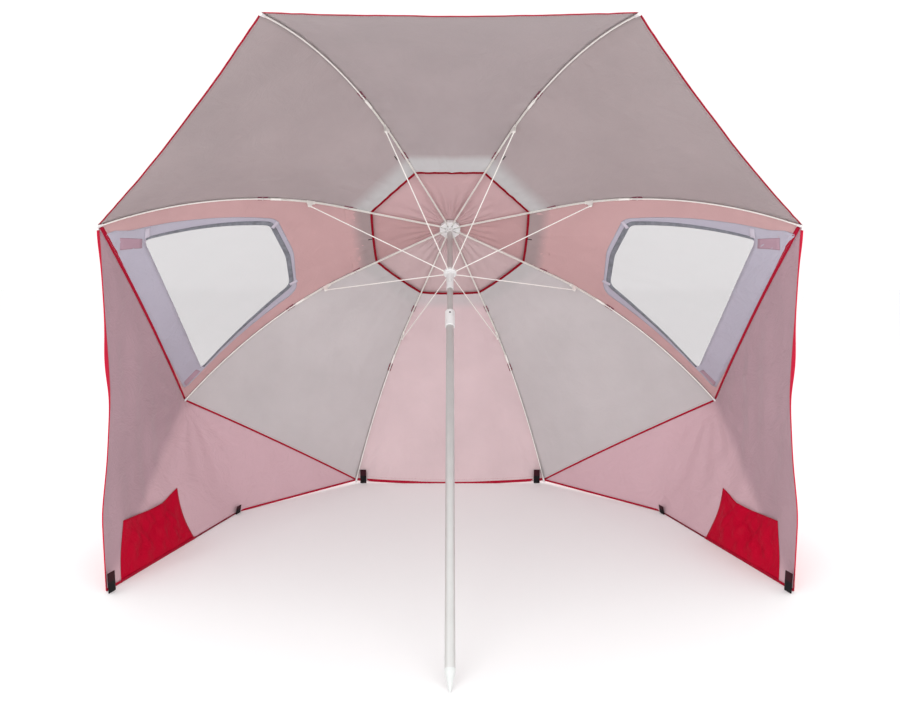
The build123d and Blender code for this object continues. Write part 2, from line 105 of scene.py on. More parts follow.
# How far inside the cloth's middle surface each layer on it lies
FILM_IN, RIM_THREAD_IN, TRIM_IN, BINDING_IN, TIE_PATCH_IN = 0.0006, 0.0009, 0.0012, 0.0012, 0.0015
WINDOW_THREAD_IN, PATCH_IN, ZIP_IN, TETHER_IN, TAB_IN = 0.0016, 0.0020, 0.0021, 0.0022, 0.0034
CORNER_FRONT = (1.117, -0.3133, 0.0)      # where a side wall meets the ground, at the open front
CORNER_MIDDLE = (0.906, 0.4237, 0.0)
FRONT_EDGE = [(1.1145, -0.215, 1.10), (1.1115, -0.219, 0.62), (1.1125, -0.262, 0.42), (1.1145, -0.313, 0.26)]
POCKET = [(0.066, 0.006), (0.452, 0.006), (0.462, 0.209), (0.354, 0.181), (0.283, 0.179), (0.115, 0.190)]
POCKET_END = 0.594             # the pocket's far end as a share of the wall's front foot
FOLD_START = (0.445, 0.190)    # the pocket's long crease, from its highest corner down to the front
FOLD_WAY = (-0.905, -0.425)
WALL_STEPS = 40                # rows of triangles in each part of a wall
LAYER_GAP = 0.007              # between the two layers of a closed wall
GUARD_GAP = 0.0205             # how far the closed umbrella's cloth stays from the plane through the pole
OUT_SLOT = 1

# ---- Studio and camera -------------------------------------------------------------------------
PALE = (0.95, 0.95, 0.95)
WORLD_LIGHT = 1.06
LIGHTS = [("key", (-2.6, -4.2, 2.8), 3.5, 74, (0, 0.3, 0.7)),      # place, size, power and aim
          ("fill", (2.5, -4.1, 2.2), 3.5, 46, (0, 0.3, 0.6)),
          ("top", (0, 0.5, 5.5), 4.0, 60, (0, 0, 0))]
EYE = (0.0, -2.4221, 1.0447)
EYE_DROP = 7.42                # how far the camera looks down, in degrees
LENS, FILM_WIDTH = 27.39, 36.0

# ---- Frame geometry, from the record -----------------------------------------------------------
PIVOTS = np.array([JOINTS["canopy_fold" if k == 0 else f"rib_{k + 1}_fold"]["pos_m"] for k in range(RIBS)])
HUB = PIVOTS.mean(0)
DOWN = -np.array(JOINTS["pole_draw"]["axis"], float)
RADIAL = (PIVOTS - HUB) / np.linalg.norm(PIVOTS - HUB, axis=1)[:, None]
SECTORS = ["low_right", "back", "low_left", "left", "high_left", "top", "high_right", "right"]
SIDES = ("left", "right")
KIND = {name: "side" if name in SIDES else name.split("_")[0] for name in SECTORS}
# Share of the free rim's curve that is left. The back rim curves the other way, down on to the ground.
RIM_PULL = {"side": 0.4, "low": 0.35, "top": 0.6, "high": 1.0, "back": -1.0}


def unit(ways):
    """Rows of vectors, each at length 1."""
    return ways / np.linalg.norm(ways, axis=-1)[..., None]


def arc_points(start, end, slope, count):
    """Points of an arc of known start slope, and its end slope. Slopes are measured downwards."""
    chord = math.atan2(end[1] - start[1], end[0] - start[0])
    finish = 2 * chord - slope
    reach = math.hypot(end[0] - start[0], end[1] - start[1])
    radius = reach / (2 * math.sin(chord - slope))
    turn = slope + (finish - slope) * np.linspace(0, 1, count)
    x = start[0] + radius * (np.sin(turn) - math.sin(slope))
    y = start[1] + radius * (math.cos(slope) - np.cos(turn))
    return x, y, turn, finish


def rib_line():
    """The rib's centre line as radius, drop and slope."""
    slope = math.atan2(BEND[1], BEND[0] - PIVOT_R)
    x0 = np.linspace(PIVOT_R, BEND[0], 30)
    y0 = (x0 - PIVOT_R) * math.tan(slope)
    x1, y1, t1, mid = arc_points(BEND, FERRULE, slope, 30)
    x2, y2, t2, _ = arc_points(FERRULE, TIP, mid, 60)
    turn = np.concatenate([np.full(30, slope), t1[1:], t2[1:]])
    return np.concatenate([x0, x1[1:], x2[1:]]), np.concatenate([y0, y1[1:], y2[1:]]), turn


LINE_R, LINE_Q, LINE_SLOPE = rib_line()


def canopy_point(sector, u, rho, lift):
    """A point of the cloth: u runs from one rib to the next, rho is the corner radius."""
    u, rho = np.broadcast_arrays(np.asarray(u, float), np.asarray(rho, float))
    slope = np.interp(rho, LINE_R, LINE_SLOPE)
    radius = rho + lift * np.sin(slope)
    drop = np.interp(rho, LINE_R, LINE_Q) - lift * np.cos(slope)
    a, b = RADIAL[sector], RADIAL[(sector + 1) % RIBS]
    across = (1 - u)[..., None] * a + u[..., None] * b
    return HUB + radius[..., None] * across + drop[..., None] * DOWN


def canopy_normal(sector, rho):
    """The way out of the cloth, away from the shelter."""
    slope = np.interp(rho, LINE_R, LINE_SLOPE)
    middle = RADIAL[sector] + RADIAL[(sector + 1) % RIBS]
    middle = middle / np.linalg.norm(middle)
    squeeze = math.cos(HALF)
    normal = np.sin(slope)[..., None] * middle - squeeze * np.cos(slope)[..., None] * DOWN
    return unit(normal)


def rim_radius(sector, u):
    """The rim's corner radius. A wall that hangs from it pulls it straight."""
    return RIM_R - RIM_BOW * RIM_PULL[KIND[SECTORS[sector]]] * 4 * u * (1 - u)


def wave_noise(x, y, seed):
    """A smooth, repeatable ripple field in -1..1."""
    total = np.zeros(np.broadcast(x, y).shape)
    for n in range(1, 6):
        a, b, c = (math.sin(seed * 12.9898 + n * k) * 43758.5453 % 1 for k in (78.233, 37.719, 11.135))
        total += np.sin((x * (0.6 + a) + y * (a - b)) * n * 2.1 + c * 6.283) / n
    return total / 2.0


def cloth_depth(sector, u, rho, rim=RIM_R):
    """How far the cloth stands off its flat span: a dip, plus puckers at seams and tips."""
    span = np.clip((rho - VENT_R) / (rim - VENT_R), 0, 1)
    dip = -SAG * 4 * u * (1 - u) * (0.35 + 0.9 * span * (1.15 - span))
    edge = np.minimum(u, 1 - u) * rho * SPREAD
    sewn = 1 - np.exp(-edge / 0.008)
    at_rim = np.exp(-(rim - np.minimum(rho, rim)) / 0.03)
    at_vent = np.exp(-np.maximum(rho - VENT_R, 0) / 0.02)
    inner = 1 - 0.85 * at_rim - 0.85 * at_vent
    pucker = 0.0022 * sewn * inner * np.exp(-edge / 0.035) * np.sin(rho * 2 * math.pi / 0.062 + sector)
    near_tip = np.exp(-((rim - rho) / 0.16) ** 2) * inner
    fan = 0.0035 * sewn * near_tip * np.exp(-edge / 0.10) * np.sin(np.minimum(u, 1 - u) * 95 + sector * 2)
    drift = 0.0025 * wave_noise(u * 5, rho * 5, sector + 1.0) * np.clip(edge / 0.12, 0, 1) * inner
    near_vent = np.exp(-((rho - VENT_R) / 0.09) ** 2)
    gather = 0.0016 * sewn * inner * near_vent * np.sin(u * 34 + sector) * np.sin(rho * 60)
    return dip + pucker + fan + drift + gather + ground_pleats(sector, u, edge, np.maximum(rim - rho, 0))


def ground_pleats(sector, u, edge, out):
    """Small gathers along the rim that lies on the ground, and pleats that fan out of its tips."""
    if SECTORS[sector] != "back":
        return 0.0
    sewn = 1 - np.exp(-edge / 0.008)
    uneven = 0.6 + 0.4 * np.sin(u * 31)
    gathers = np.sin(u * 290 + 2 * np.sin(u * 17)) * uneven * np.exp(-(out / 0.035) ** 2)
    reach = np.hypot(edge, out)
    rays = np.sin(np.arctan2(out, edge + 1e-6) * 24) * np.exp(-reach / 0.06) * (1 - np.exp(-reach / 0.012))
    return 0.0009 * sewn * gathers + 0.0050 * rays


def panel_surface(sector, u, rho, lift=LIFT):
    """The panel as it hangs, with its dip and puckers."""
    point = canopy_point(sector, u, rho, lift)
    return point + canopy_normal(sector, rho) * cloth_depth(sector, u, rho)[..., None]


def flat_to_panel(out, along):
    """(u, rho) of a spot drawn flat over a sector: distance out from the pole, and distance across."""
    rho = out / math.cos(HALF)
    u = 0.5 + along / (2 * rho * math.sin(HALF))
    return u, rho


def canopy_weights(points):
    """How each point of the canopy follows the two ribs beside it."""
    offset = points - HUB
    flat = offset - (offset @ DOWN)[:, None] * DOWN
    middles = unit(RADIAL + np.roll(RADIAL, -1, axis=0))
    sector = np.argmax(flat @ middles.T, axis=1)
    across = np.cross(DOWN, middles)
    across *= np.sign(np.einsum("ij,ij->i", across, np.roll(RADIAL, -1, axis=0)))[:, None]
    out = np.einsum("ij,ij->i", flat, middles[sector])
    side = np.einsum("ij,ij->i", flat, across[sector])
    u = np.clip(0.5 + side / np.maximum(2 * out * math.tan(HALF), 1e-6), 0, 1)
    weights = {f"rib_{k + 1}": np.zeros(len(points)) for k in range(RIBS)}
    for k in range(RIBS):
        here = sector == k
        weights[f"rib_{k + 1}"][here] += 1 - u[here]
        weights[f"rib_{(k + 1) % RIBS + 1}"][here] += u[here]
    return weights


# ---- Meshes ------------------------------------------------------------------------------------
def new_object(name, data):
    made = bpy.data.objects.new(name, data)
    bpy.context.scene.collection.objects.link(made)
    return made


def new_piece(name, points, faces, materials, smooth=True, uv=None):
    mesh = bpy.data.meshes.new(name)
    mesh.from_pydata([tuple(p) for p in points], [], [tuple(f) for f in faces])
    piece = new_object(name, mesh)
    for material in materials:
        mesh.materials.append(material)
    mesh.polygons.foreach_set("use_smooth", [smooth] * len(mesh.polygons))
    if uv is not None:
        layer = mesh.uv_layers.new(name="UVMap")
        loops = np.array([loop.vertex_index for loop in mesh.loops])
        layer.data.foreach_set("uv", np.asarray(uv, np.float32)[loops].ravel())
    mesh.update()
    return piece


def grid_faces(rows, columns, closed=False):
    faces = []
    for i in range(rows - 1):
        for j in range(columns if closed else columns - 1):
            k = (j + 1) % columns
            faces.append((i * columns + j, i * columns + k, (i + 1) * columns + k, (i + 1) * columns + j))
    return faces


def thicken(piece, thickness, outside_slot=0, rim_slot=0, offset=0.0):
    solid = piece.modifiers.new("thickness", "SOLIDIFY")
    solid.thickness = thickness
    solid.offset = offset
    solid.material_offset = outside_slot
    solid.material_offset_rim = rim_slot
    solid.use_even_offset = False
    return piece


def ribbon(name, line, width_way, normal, width, depth, materials, closed=False):
    """A flat band with rounded edges that follows a line. Ways are unit vectors, one for each point."""
    section = []
    for angle in np.linspace(0, 2 * math.pi, 9)[:-1] + math.pi / 8:
        x, y = math.cos(angle), math.sin(angle)
        section.append((np.sign(x) * abs(x) ** 0.45 * width / 2, np.sign(y) * abs(y) ** 0.8 * depth / 2))
    rings = [line + width_way * x + normal * y for x, y in section]
    points = np.stack(rings, 1).reshape(-1, 3)
    count = len(line)
    sides = len(section)
    faces = grid_faces(count, sides, closed=True)
    if closed:
        last = (count - 1) * sides
        for j in range(sides):
            k = (j + 1) % sides
            faces.append((last + j, last + k, k, j))
    else:
        faces.append(tuple(range(sides)))
        faces.append(tuple((count - 1) * sides + j for j in reversed(range(sides))))
    piece = new_piece(name, points, faces, materials)
    mend_normals(piece)
    return piece


def turn_faces(piece, measure):
    """Reverse the faces if what is measured on them adds up to less than nothing."""
    shape = bmesh.new()
    shape.from_mesh(piece.data)
    if sum(measure(f) for f in shape.faces) < 0:
        bmesh.ops.reverse_faces(shape, faces=shape.faces)
    shape.to_mesh(piece.data)
    shape.free()
    return piece


def mend_normals(piece):
    shape = bmesh.new()
    shape.from_mesh(piece.data)
    bmesh.ops.recalc_face_normals(shape, faces=shape.faces)
    shape.to_mesh(piece.data)
    shape.free()


# ---- Riding and folding ------------------------------------------------------------------------
SOFT_BODIES = [f"rib_{k + 1}" for k in range(RIBS)] + ["upper_pole"]
SOFT_BODIES += [f"side_wall_{part}_{side}" for part in ("front", "rear") for side in ("left", "right")]
RIGS = {}


def rig_for(home):
    """A rig riding on one body, with a bone that follows each body that cloth is sewn to."""
    if home in RIGS:
        return RIGS[home]
    data = bpy.data.armatures.new(f"rig_{home}")
    rig = new_object(f"rig_{home}", data)
    bpy.context.view_layer.objects.active = rig
    bpy.ops.object.mode_set(mode="EDIT")
    for body in SOFT_BODIES:
        bone = data.edit_bones.new(body)
        bone.head = (0, 0, 0)
        bone.tail = (0, 1, 0)
    bpy.ops.object.mode_set(mode="OBJECT")
    for body in SOFT_BODIES:
        rig.pose.bones[body].constraints.new("COPY_TRANSFORMS").target = frame["bodies"][body]
    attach(rig, home)
    rig.hide_render = True
    RIGS[home] = rig
    return rig


def sew(piece, home, weights):
    """The piece rides on a body, and its points follow the bodies that they are sewn to."""
    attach(piece, home)
    for body, amount in weights.items():
        if np.max(amount) <= 0:
            continue
        group = piece.vertex_groups.new(name=body)
        for index in np.nonzero(amount > 1e-4)[0]:
            group.add([int(index)], float(amount[index]), "REPLACE")
    fold = piece.modifiers.new("fold", "ARMATURE")
    fold.object = rig_for(home)
    while piece.modifiers[0] != fold:
        place = list(piece.modifiers).index(fold)
        piece.modifiers.move(place, place - 1)
    return piece


def points_of(piece):
    flat = np.zeros(len(piece.data.vertices) * 3)
    piece.data.vertices.foreach_get("co", flat)
    return flat.reshape(-1, 3)


# ---- Materials ---------------------------------------------------------------------------------
def start_material(name, colour, roughness):
    material = bpy.data.materials.new(name)
    material.use_nodes = True
    shader = material.node_tree.nodes["Principled BSDF"]
    shader.inputs["Base Color"].default_value = (*colour, 1)
    shader.inputs["Roughness"].default_value = roughness
    return material, shader


def add(material, kind, **settings):
    node = material.node_tree.nodes.new(kind)
    for name, value in settings.items():
        if name in node.inputs:
            node.inputs[name].default_value = value
        else:
            setattr(node, name, value)
    return node


def link(material, start, end):
    material.node_tree.links.new(start, end)


def tune(node, values):
    for socket, value in values.items():
        node.inputs[socket].default_value = value


def noise_over(material, vector, **settings):
    """The height of a noise texture over a set of coordinates."""
    noise = add(material, "ShaderNodeTexNoise", **settings)
    link(material, vector, noise.inputs["Vector"])
    return noise.outputs["Fac"]


def mottle(material, shader, colour, spread, scale, vector, darker=0.86, lighter=1.08):
    """Slow, uneven colour over the surface."""
    height = noise_over(material, vector, Scale=scale, Detail=4.0, Roughness=0.55)
    ramp = add(material, "ShaderNodeValToRGB")
    for stop, step, factor in zip(ramp.color_ramp.elements, (-spread, spread), (darker, lighter)):
        stop.position = 0.5 + step
        stop.color = (*[min(1, c * factor) for c in colour], 1)
    link(material, height, ramp.inputs["Fac"])
    link(material, ramp.outputs["Color"], shader.inputs["Base Color"])


def bump_chain(material, shader, layers):
    """Bumps on top of each other: (height socket, strength, distance) for each."""
    previous = None
    for height, strength, distance in layers:
        bump = add(material, "ShaderNodeBump", Strength=strength, Distance=distance)
        link(material, height, bump.inputs["Height"])
        if previous:
            link(material, previous.outputs["Normal"], bump.inputs["Normal"])
        previous = bump
    link(material, previous.outputs["Normal"], shader.inputs["Normal"])


def thread_wave(material, way, width):
    """Even bands across the UV map, one for each thread."""
    return add(material, "ShaderNodeTexWave", wave_type="BANDS", bands_direction=way, Scale=0.314 / width)


def fabric(name, colour, thread=0.0007, roughness=0.72, wrinkle=0.35, sheen=0.25, specular=0.3):
    """Plain-weave polyester: two crossed thread waves, soft creases and slow colour change."""
    material, shader = start_material(name, colour, roughness)
    tune(shader, {"Sheen Weight": sheen, "Sheen Roughness": 0.4, "Specular IOR Level": specular})
    place = add(material, "ShaderNodeTexCoord")
    vector = place.outputs["Object"]
    mottle(material, shader, colour, 0.22, 3.2, vector, 0.93, 1.05)
    threads = []
    for way in ("X", "Y"):
        wave = thread_wave(material, way, thread)
        link(material, place.outputs["UV"], wave.inputs["Vector"])
        threads.append(wave.outputs["Fac"])
    weave = add(material, "ShaderNodeMath", operation="MAXIMUM")
    link(material, threads[0], weave.inputs[0])
    link(material, threads[1], weave.inputs[1])
    crease = noise_over(material, vector, Scale=9.0, Detail=5.0, Roughness=0.6, Distortion=0.6)
    bump_chain(material, shader, [(crease, wrinkle, 0.012), (weave.outputs[0], 0.25, 0.00012)])
    return material


def fade(material, far_colour, space, way, start, end):
    """Let a cloth's colour turn into another one along a direction of its own space."""
    shader = material.node_tree.nodes["Principled BSDF"]
    near = shader.inputs["Base Color"].links[0].from_socket
    place = add(material, "ShaderNodeTexCoord").outputs[space]
    along = add(material, "ShaderNodeVectorMath", operation="DOT_PRODUCT")
    tune(along, {1: way})
    link(material, place, along.inputs[0])
    share = add(material, "ShaderNodeMapRange", interpolation_type="SMOOTHSTEP")
    tune(share, {"From Min": start, "From Max": end})
    link(material, along.outputs["Value"], share.inputs["Value"])
    blend = add(material, "ShaderNodeMix", data_type="RGBA")
    tune(blend, {7: (*far_colour, 1)})
    link(material, share.outputs["Result"], blend.inputs[0])
    link(material, near, blend.inputs[6])
    link(material, blend.outputs[2], shader.inputs["Base Color"])
    return material


def moulded(name, colour, roughness=0.42):
    """Injection-moulded plastic with a fine spark texture and slight handling marks."""
    material, shader = start_material(name, colour, roughness)
    place = add(material, "ShaderNodeTexCoord").outputs["Object"]
    mottle(material, shader, colour, 0.3, 60.0, place, 0.94, 1.03)
    grain = noise_over(material, place, Scale=1800.0, Detail=2.0)
    bump_chain(material, shader, [(grain, 0.2, 0.0002)])
    return material


def metal(name, colour, roughness, stretch, metallic=1.0, coat=0.0):
    """Drawn metal with fine streaks along the tube, and rubbed patches."""
    material, shader = start_material(name, colour, roughness)
    tune(shader, {"Metallic": metallic, "Coat Weight": coat})
    place = add(material, "ShaderNodeTexCoord").outputs["Object"]
    turn = add(material, "ShaderNodeMapping")
    tune(turn, {"Rotation": (math.acos(-DOWN[2]), 0, 0), "Scale": stretch})
    link(material, place, turn.inputs["Vector"])
    streak = noise_over(material, turn.outputs["Vector"], Scale=40.0, Detail=6.0, Roughness=0.7)
    mottle(material, shader, colour, 0.25, 18.0, place, 0.96, 1.03)
    rough = add(material, "ShaderNodeMapRange")
    tune(rough, {"To Min": roughness * 0.75, "To Max": min(1.0, roughness * 1.3)})
    link(material, streak, rough.inputs["Value"])
    link(material, rough.outputs["Result"], shader.inputs["Roughness"])
    bump_chain(material, shader, [(streak, 0.15, 0.0004)])
    return material


def clear_film():
    """Thin clear PVC: mostly see-through, with soft waves that catch the light."""
    tint = (0.46, 0.45, 0.465)
    material, shader = start_material("window_film", tint, 0.22)
    tune(shader, {"Alpha": 0.55, "IOR": 1.45})
    place = add(material, "ShaderNodeTexCoord").outputs["Object"]
    waves = noise_over(material, place, Scale=5.0, Detail=2.0, Distortion=0.4)
    mottle(material, shader, tint, 0.3, 2.0, place, 0.96, 1.03)
    bump_chain(material, shader, [(waves, 0.08, 0.02)])
    material.surface_render_method = "BLENDED"
    return material


def webbing_material(name, colour):
    """Heavy woven tape: coarse ribs across, finer threads along."""
    material, shader = start_material(name, colour, 0.8)
    tune(shader, {"Sheen Weight": 0.03, "Specular IOR Level": 0.2})
    place = add(material, "ShaderNodeTexCoord")
    mottle(material, shader, colour, 0.2, 50.0, place.outputs["Object"], 0.8, 1.2)
    coarse = thread_wave(material, "Y", 0.0022)
    fine = thread_wave(material, "X", 0.0011)
    for wave in (coarse, fine):
        link(material, place.outputs["UV"], wave.inputs["Vector"])
    bump_chain(material, shader, [(coarse.outputs["Fac"], 0.6, 0.0004), (fine.outputs["Fac"], 0.4, 0.0002)])
    return material


# The canopy's inside is one silver-coated cloth. These colours carry painted light: the pink is painted
# light shining through the red outside, and each kind of sector is lighter or darker by painted light and
# shade.
TOP_INSIDE_PAINTED_LIGHT = (0.405, 0.348, 0.354)
LOW_INSIDE_PAINTED_LIGHT = (0.543, 0.508, 0.513)
SIDE_INSIDE_PAINTED_LIGHT = (0.560, 0.350, 0.352)
BACK_INSIDE_PAINTED_LIGHT = (0.666, 0.520, 0.538)
# A side wall's inside, with painted light and shade: darker in front of the crease, which faces away from
# the light, and lighter behind it.
WALL_FRONT_PAINTED_SHADE = (0.449, 0.299, 0.340)
WALL_REAR_PAINTED_LIGHT = (0.610, 0.409, 0.451)
RED = (0.62, 0.008, 0.045)

RED_OUT = fabric("red_outside", RED, wrinkle=0.3, sheen=0.2, specular=0.2)
# One copy of the inside cloth for each kind of sector and for the vent cap, each with its own painted light
# and shade.
INSIDES_PAINTED_LIGHT = {
    "top": fabric("silver_inside_top_painted_light", TOP_INSIDE_PAINTED_LIGHT),
    "high": fabric("silver_inside_high_painted_light", (0.412, 0.348, 0.352)),
    "side": fabric("pink_inside_side_painted_light", SIDE_INSIDE_PAINTED_LIGHT),
    "low": fabric("silver_inside_low_painted_light", LOW_INSIDE_PAINTED_LIGHT),
    "back": fabric("pink_inside_back_painted_light", BACK_INSIDE_PAINTED_LIGHT),
    "cap_top": fabric("pink_inside_cap_top_painted_light", (0.560, 0.375, 0.385), wrinkle=0.5),
    "cap_side": fabric("pink_inside_cap_side_painted_light", (0.495, 0.305, 0.307), wrinkle=0.7),
    "cap_low": fabric("mauve_inside_cap_low_painted_light", (0.560, 0.418, 0.425), wrinkle=0.7),
}
CAP_KINDS = {"top": "cap_top", "high": "cap_top", "side": "cap_side", "low": "cap_low", "back": "cap_low"}
# The vent facing is one silver-grey band; each kind of sector has a copy of it that is lighter or darker by
# painted light and shade.
FACINGS_PAINTED_LIGHT = {
    "top": fabric("vent_facing_top_painted_light", (0.545, 0.540, 0.545), wrinkle=0.3),
    "high": fabric("vent_facing_high_painted_light", (0.508, 0.503, 0.505), wrinkle=0.3),
    "side": fabric("vent_facing_side_painted_light", (0.352, 0.272, 0.272), wrinkle=0.6),
    "low": fabric("vent_facing_low_painted_light", (0.500, 0.480, 0.482), wrinkle=0.4),
    "back": fabric("vent_facing_back_painted_light", (0.560, 0.500, 0.510), wrinkle=0.3),
}
# Each facing copy fades into its sector's inside colour, which carries painted light too.
for kind, far_colour in (("top", TOP_INSIDE_PAINTED_LIGHT), ("high", TOP_INSIDE_PAINTED_LIGHT), ("side", SIDE_INSIDE_PAINTED_LIGHT), ("low", LOW_INSIDE_PAINTED_LIGHT),
                         ("back", BACK_INSIDE_PAINTED_LIGHT)):
    plain = 0.066 if kind == "top" else 0.042
    fade(FACINGS_PAINTED_LIGHT[kind], far_colour, "UV", (0, 1, 0), VENT_R + plain, FACING_R - 0.004)
# The binding's and the hem's own reds, and a darker copy of the hem red with painted shade for the front
# part of the ground hem, which lies in shade under the shelter.
BINDING, HEM_RED, HEM_RED_PAINTED_SHADE = (
    fabric(name, colour, thread=0.0009, wrinkle=0.2, sheen=0.0, specular=0.15)
    for name, colour in (("binding_red", (0.255, 0.001, 0.012)), ("hem_red", (0.380, 0.004, 0.026)),
                         ("ground_hem_red_painted_shade", (0.200, 0.006, 0.022))))
POCKET_RED = fabric("pocket_red", (0.480, 0.0, 0.022), roughness=0.45, wrinkle=1.0, sheen=0.0, specular=0.07)
TRIM_CLOTH = fabric("window_trim_lavender", (0.455, 0.435, 0.515), thread=0.001, wrinkle=0.8)
TAB_CLOTH = fabric("window_tab_lavender", (0.560, 0.520, 0.600), thread=0.001, wrinkle=0.2)
PATCH_CLOTH = fabric("window_patch_pink", (0.42, 0.27, 0.33), wrinkle=0.2)
SEAM_GREY = fabric("seam_grey", (0.36, 0.30, 0.30), wrinkle=0.2)
TIE_CLOTH = fabric("tie_mauve", (0.22, 0.06, 0.09), wrinkle=0.2)
TIE_TAPE = fabric("tie_tape_pale", (0.70, 0.66, 0.64), wrinkle=0.2)
THREAD_RED = fabric("thread_red", (0.40, 0.02, 0.05), thread=0.0004, wrinkle=0.1)
THREAD_PALE = fabric("thread_pale", (0.60, 0.56, 0.62), thread=0.0004, wrinkle=0.1)
SLATE = webbing_material("zip_tape_slate", (0.21, 0.22, 0.25))
FILM = clear_film()
BLACK = webbing_material("webbing_black", (0.006, 0.006, 0.007))
MAROON = webbing_material("webbing_maroon", (0.035, 0.005, 0.010))
WHITE = moulded("white_plastic", (0.80, 0.80, 0.80))
SPIKE = moulded("spike_plastic", (0.68, 0.70, 0.69))
DARK = moulded("dark_plastic", (0.10, 0.10, 0.11), 0.5)
POLE = metal("pole_aluminium", (0.615, 0.613, 0.602), 0.40, (1.0, 1.0, 0.03), metallic=0.55)
ENAMEL = metal("rib_enamel", (0.93, 0.91, 0.87), 0.38, (1.0, 1.0, 1.0), metallic=0.0, coat=0.10)
WIRE = metal("wire_steel", (0.55, 0.55, 0.56), 0.35, (1.0, 1.0, 1.0))

NODE_FINISH = {"lower_tube": POLE, "upper_tube": POLE, "ground_spike": SPIKE, "lock_collar": WHITE,
               "lock_button": DARK, "hub_crown": WHITE, "hub_cap": WHITE, "runner_body": WHITE,
               "runner_catch": WHITE, "hub_wire": WIRE, "runner_wire": WIRE, "catch_rivet": WIRE}
for k in range(1, RIBS + 1):
    NODE_FINISH[f"rib_{k}"] = ENAMEL
    NODE_FINISH[f"stretcher_{k}"] = ENAMEL
    NODE_FINISH[f"rib_tip_{k}"] = WHITE
for node, material in NODE_FINISH.items():
    mesh = frame["nodes"][node].data
    mesh.materials.clear()
    mesh.materials.append(material)


# ---- Canopy panels -----------------------------------------------------------------------------
def surface_area(piece):
    piece.data.calc_loop_triangles()
    points = points_of(piece)
    corners = np.array([t.vertices for t in piece.data.loop_triangles])
    a, b, c = (points[corners[:, k]] for k in range(3))
    return round(float(np.linalg.norm(np.cross(b - a, c - a), axis=1).sum() / 2), 3)


def face_inwards(piece):
    """Turn the faces so that their front side looks at the pole and the ground."""
    inside = Vector(HUB + DOWN * 0.9)
    return turn_faces(piece, lambda f: f.normal.dot(inside - f.calc_center_median()) * f.calc_area())


def run_of(line):
    """How far along a line each of its points is."""
    return np.concatenate([[0], np.cumsum(np.linalg.norm(np.diff(line, axis=0), axis=1))])


def read_off(at, run, rows):
    """Rows of three numbers, given along a run, read off at other places of it."""
    return np.stack([np.interp(at, run, rows[:, k]) for k in range(3)], -1)


def smoothstep(x):
    x = np.clip(x, 0, 1)
    return x * x * (3 - 2 * x)


def plain_panel(sector, name):
    rows, columns = 110, 161 if name == "back" else 49
    u = np.linspace(0, 1, columns)[None, :] * np.ones((rows, 1))
    share = np.linspace(0, 1, rows)[:, None]
    rho = VENT_R + (rim_radius(sector, u) - VENT_R) * share
    points = panel_surface(sector, u, rho).reshape(-1, 3)
    uv = np.stack([(u - 0.5) * rho * SPREAD, rho], -1).reshape(-1, 2)
    return new_piece(f"panel_{name}", points, grid_faces(rows, columns),
                     [INSIDES_PAINTED_LIGHT[KIND[name]], RED_OUT], uv=uv)


def rounded(corners, radii, per_corner=10, per_side=24):
    """A closed outline with rounded corners, as points."""
    corners = np.array(corners, float)
    count = len(corners)
    points = []
    ends = []
    for k in range(count):
        here, before, after = corners[k], corners[k - 1], corners[(k + 1) % count]
        way_in = (before - here) / np.linalg.norm(before - here)
        way_out = (after - here) / np.linalg.norm(after - here)
        half = math.acos(float(np.clip(way_in @ way_out, -1, 1))) / 2
        back = radii[k] / math.tan(half)
        middle = here + (way_in + way_out) / np.linalg.norm(way_in + way_out) * radii[k] / math.sin(half)
        first = here + way_in * back - middle
        last = here + way_out * back - middle
        a0 = math.atan2(first[1], first[0])
        turn = (math.atan2(last[1], last[0]) - a0 + math.pi) % (2 * math.pi) - math.pi
        angles = a0 + turn * np.linspace(0, 1, per_corner)
        ends.append(middle + radii[k] * np.stack([np.cos(angles), np.sin(angles)], -1))
    for k in range(count):
        points.append(ends[k])
        a, b = ends[k][-1], ends[(k + 1) % count][0]
        share = np.linspace(0, 1, per_side)[1:-1, None]
        points.append(a + (b - a) * share)
    return np.concatenate(points)


def flat_spot(rho, u):
    """A spot of a sector drawn flat: distance out from the pole, and distance across."""
    return np.stack([rho * math.cos(HALF), (u - 0.5) * 2 * rho * math.sin(HALF)], -1)


def panel_outline(sector):
    """A panel's cut shape, flat: up one rib, along the rim, down the other rib, along the vent."""
    share = np.linspace(0, 1, PER_SIDE)[:-1]
    ones = np.ones(len(share))
    up, down = (VENT_R + (RIM_R - VENT_R) * run for run in (share, 1 - share))
    return np.concatenate([flat_spot(up, ones), flat_spot(rim_radius(sector, 1 - share), 1 - share),
                           flat_spot(down, 0 * ones), flat_spot(VENT_R * ones, share)])


def reach_from(outline, angles):
    """How far an outline is from the window's middle, in each direction."""
    offset = outline - np.array(WINDOW_MIDDLE)
    turned = np.arctan2(offset[:, 1], offset[:, 0])
    order = np.argsort(turned)
    return np.interp(angles, turned[order], np.hypot(*offset.T)[order], period=2 * math.pi)


def from_middle(reach, angles):
    """Spots drawn flat, by their distance and direction from the window's middle."""
    return np.array(WINDOW_MIDDLE) + reach[..., None] * np.stack([np.cos(angles), np.sin(angles)], -1)


def outline_angles(outline):
    """Directions from the window's middle: even ones and those to a cut shape's corners."""
    offset = outline - np.array(WINDOW_MIDDLE)
    corners = np.arctan2(offset[:, 1], offset[:, 0])[::PER_SIDE - 1]
    even = np.linspace(-math.pi, math.pi, 221)[:-1]
    gap = np.min(np.abs(even[:, None] - corners[None, :]), axis=1)
    return np.sort(np.concatenate([even[gap > 0.012], corners]))


def tilt_of(name):
    """Along the rim, +1 where the sector's second rib is the higher one, and otherwise -1."""
    sector = SECTORS.index(name)
    return 1 if RADIAL[(sector + 1) % RIBS][2] > RADIAL[sector][2] else -1


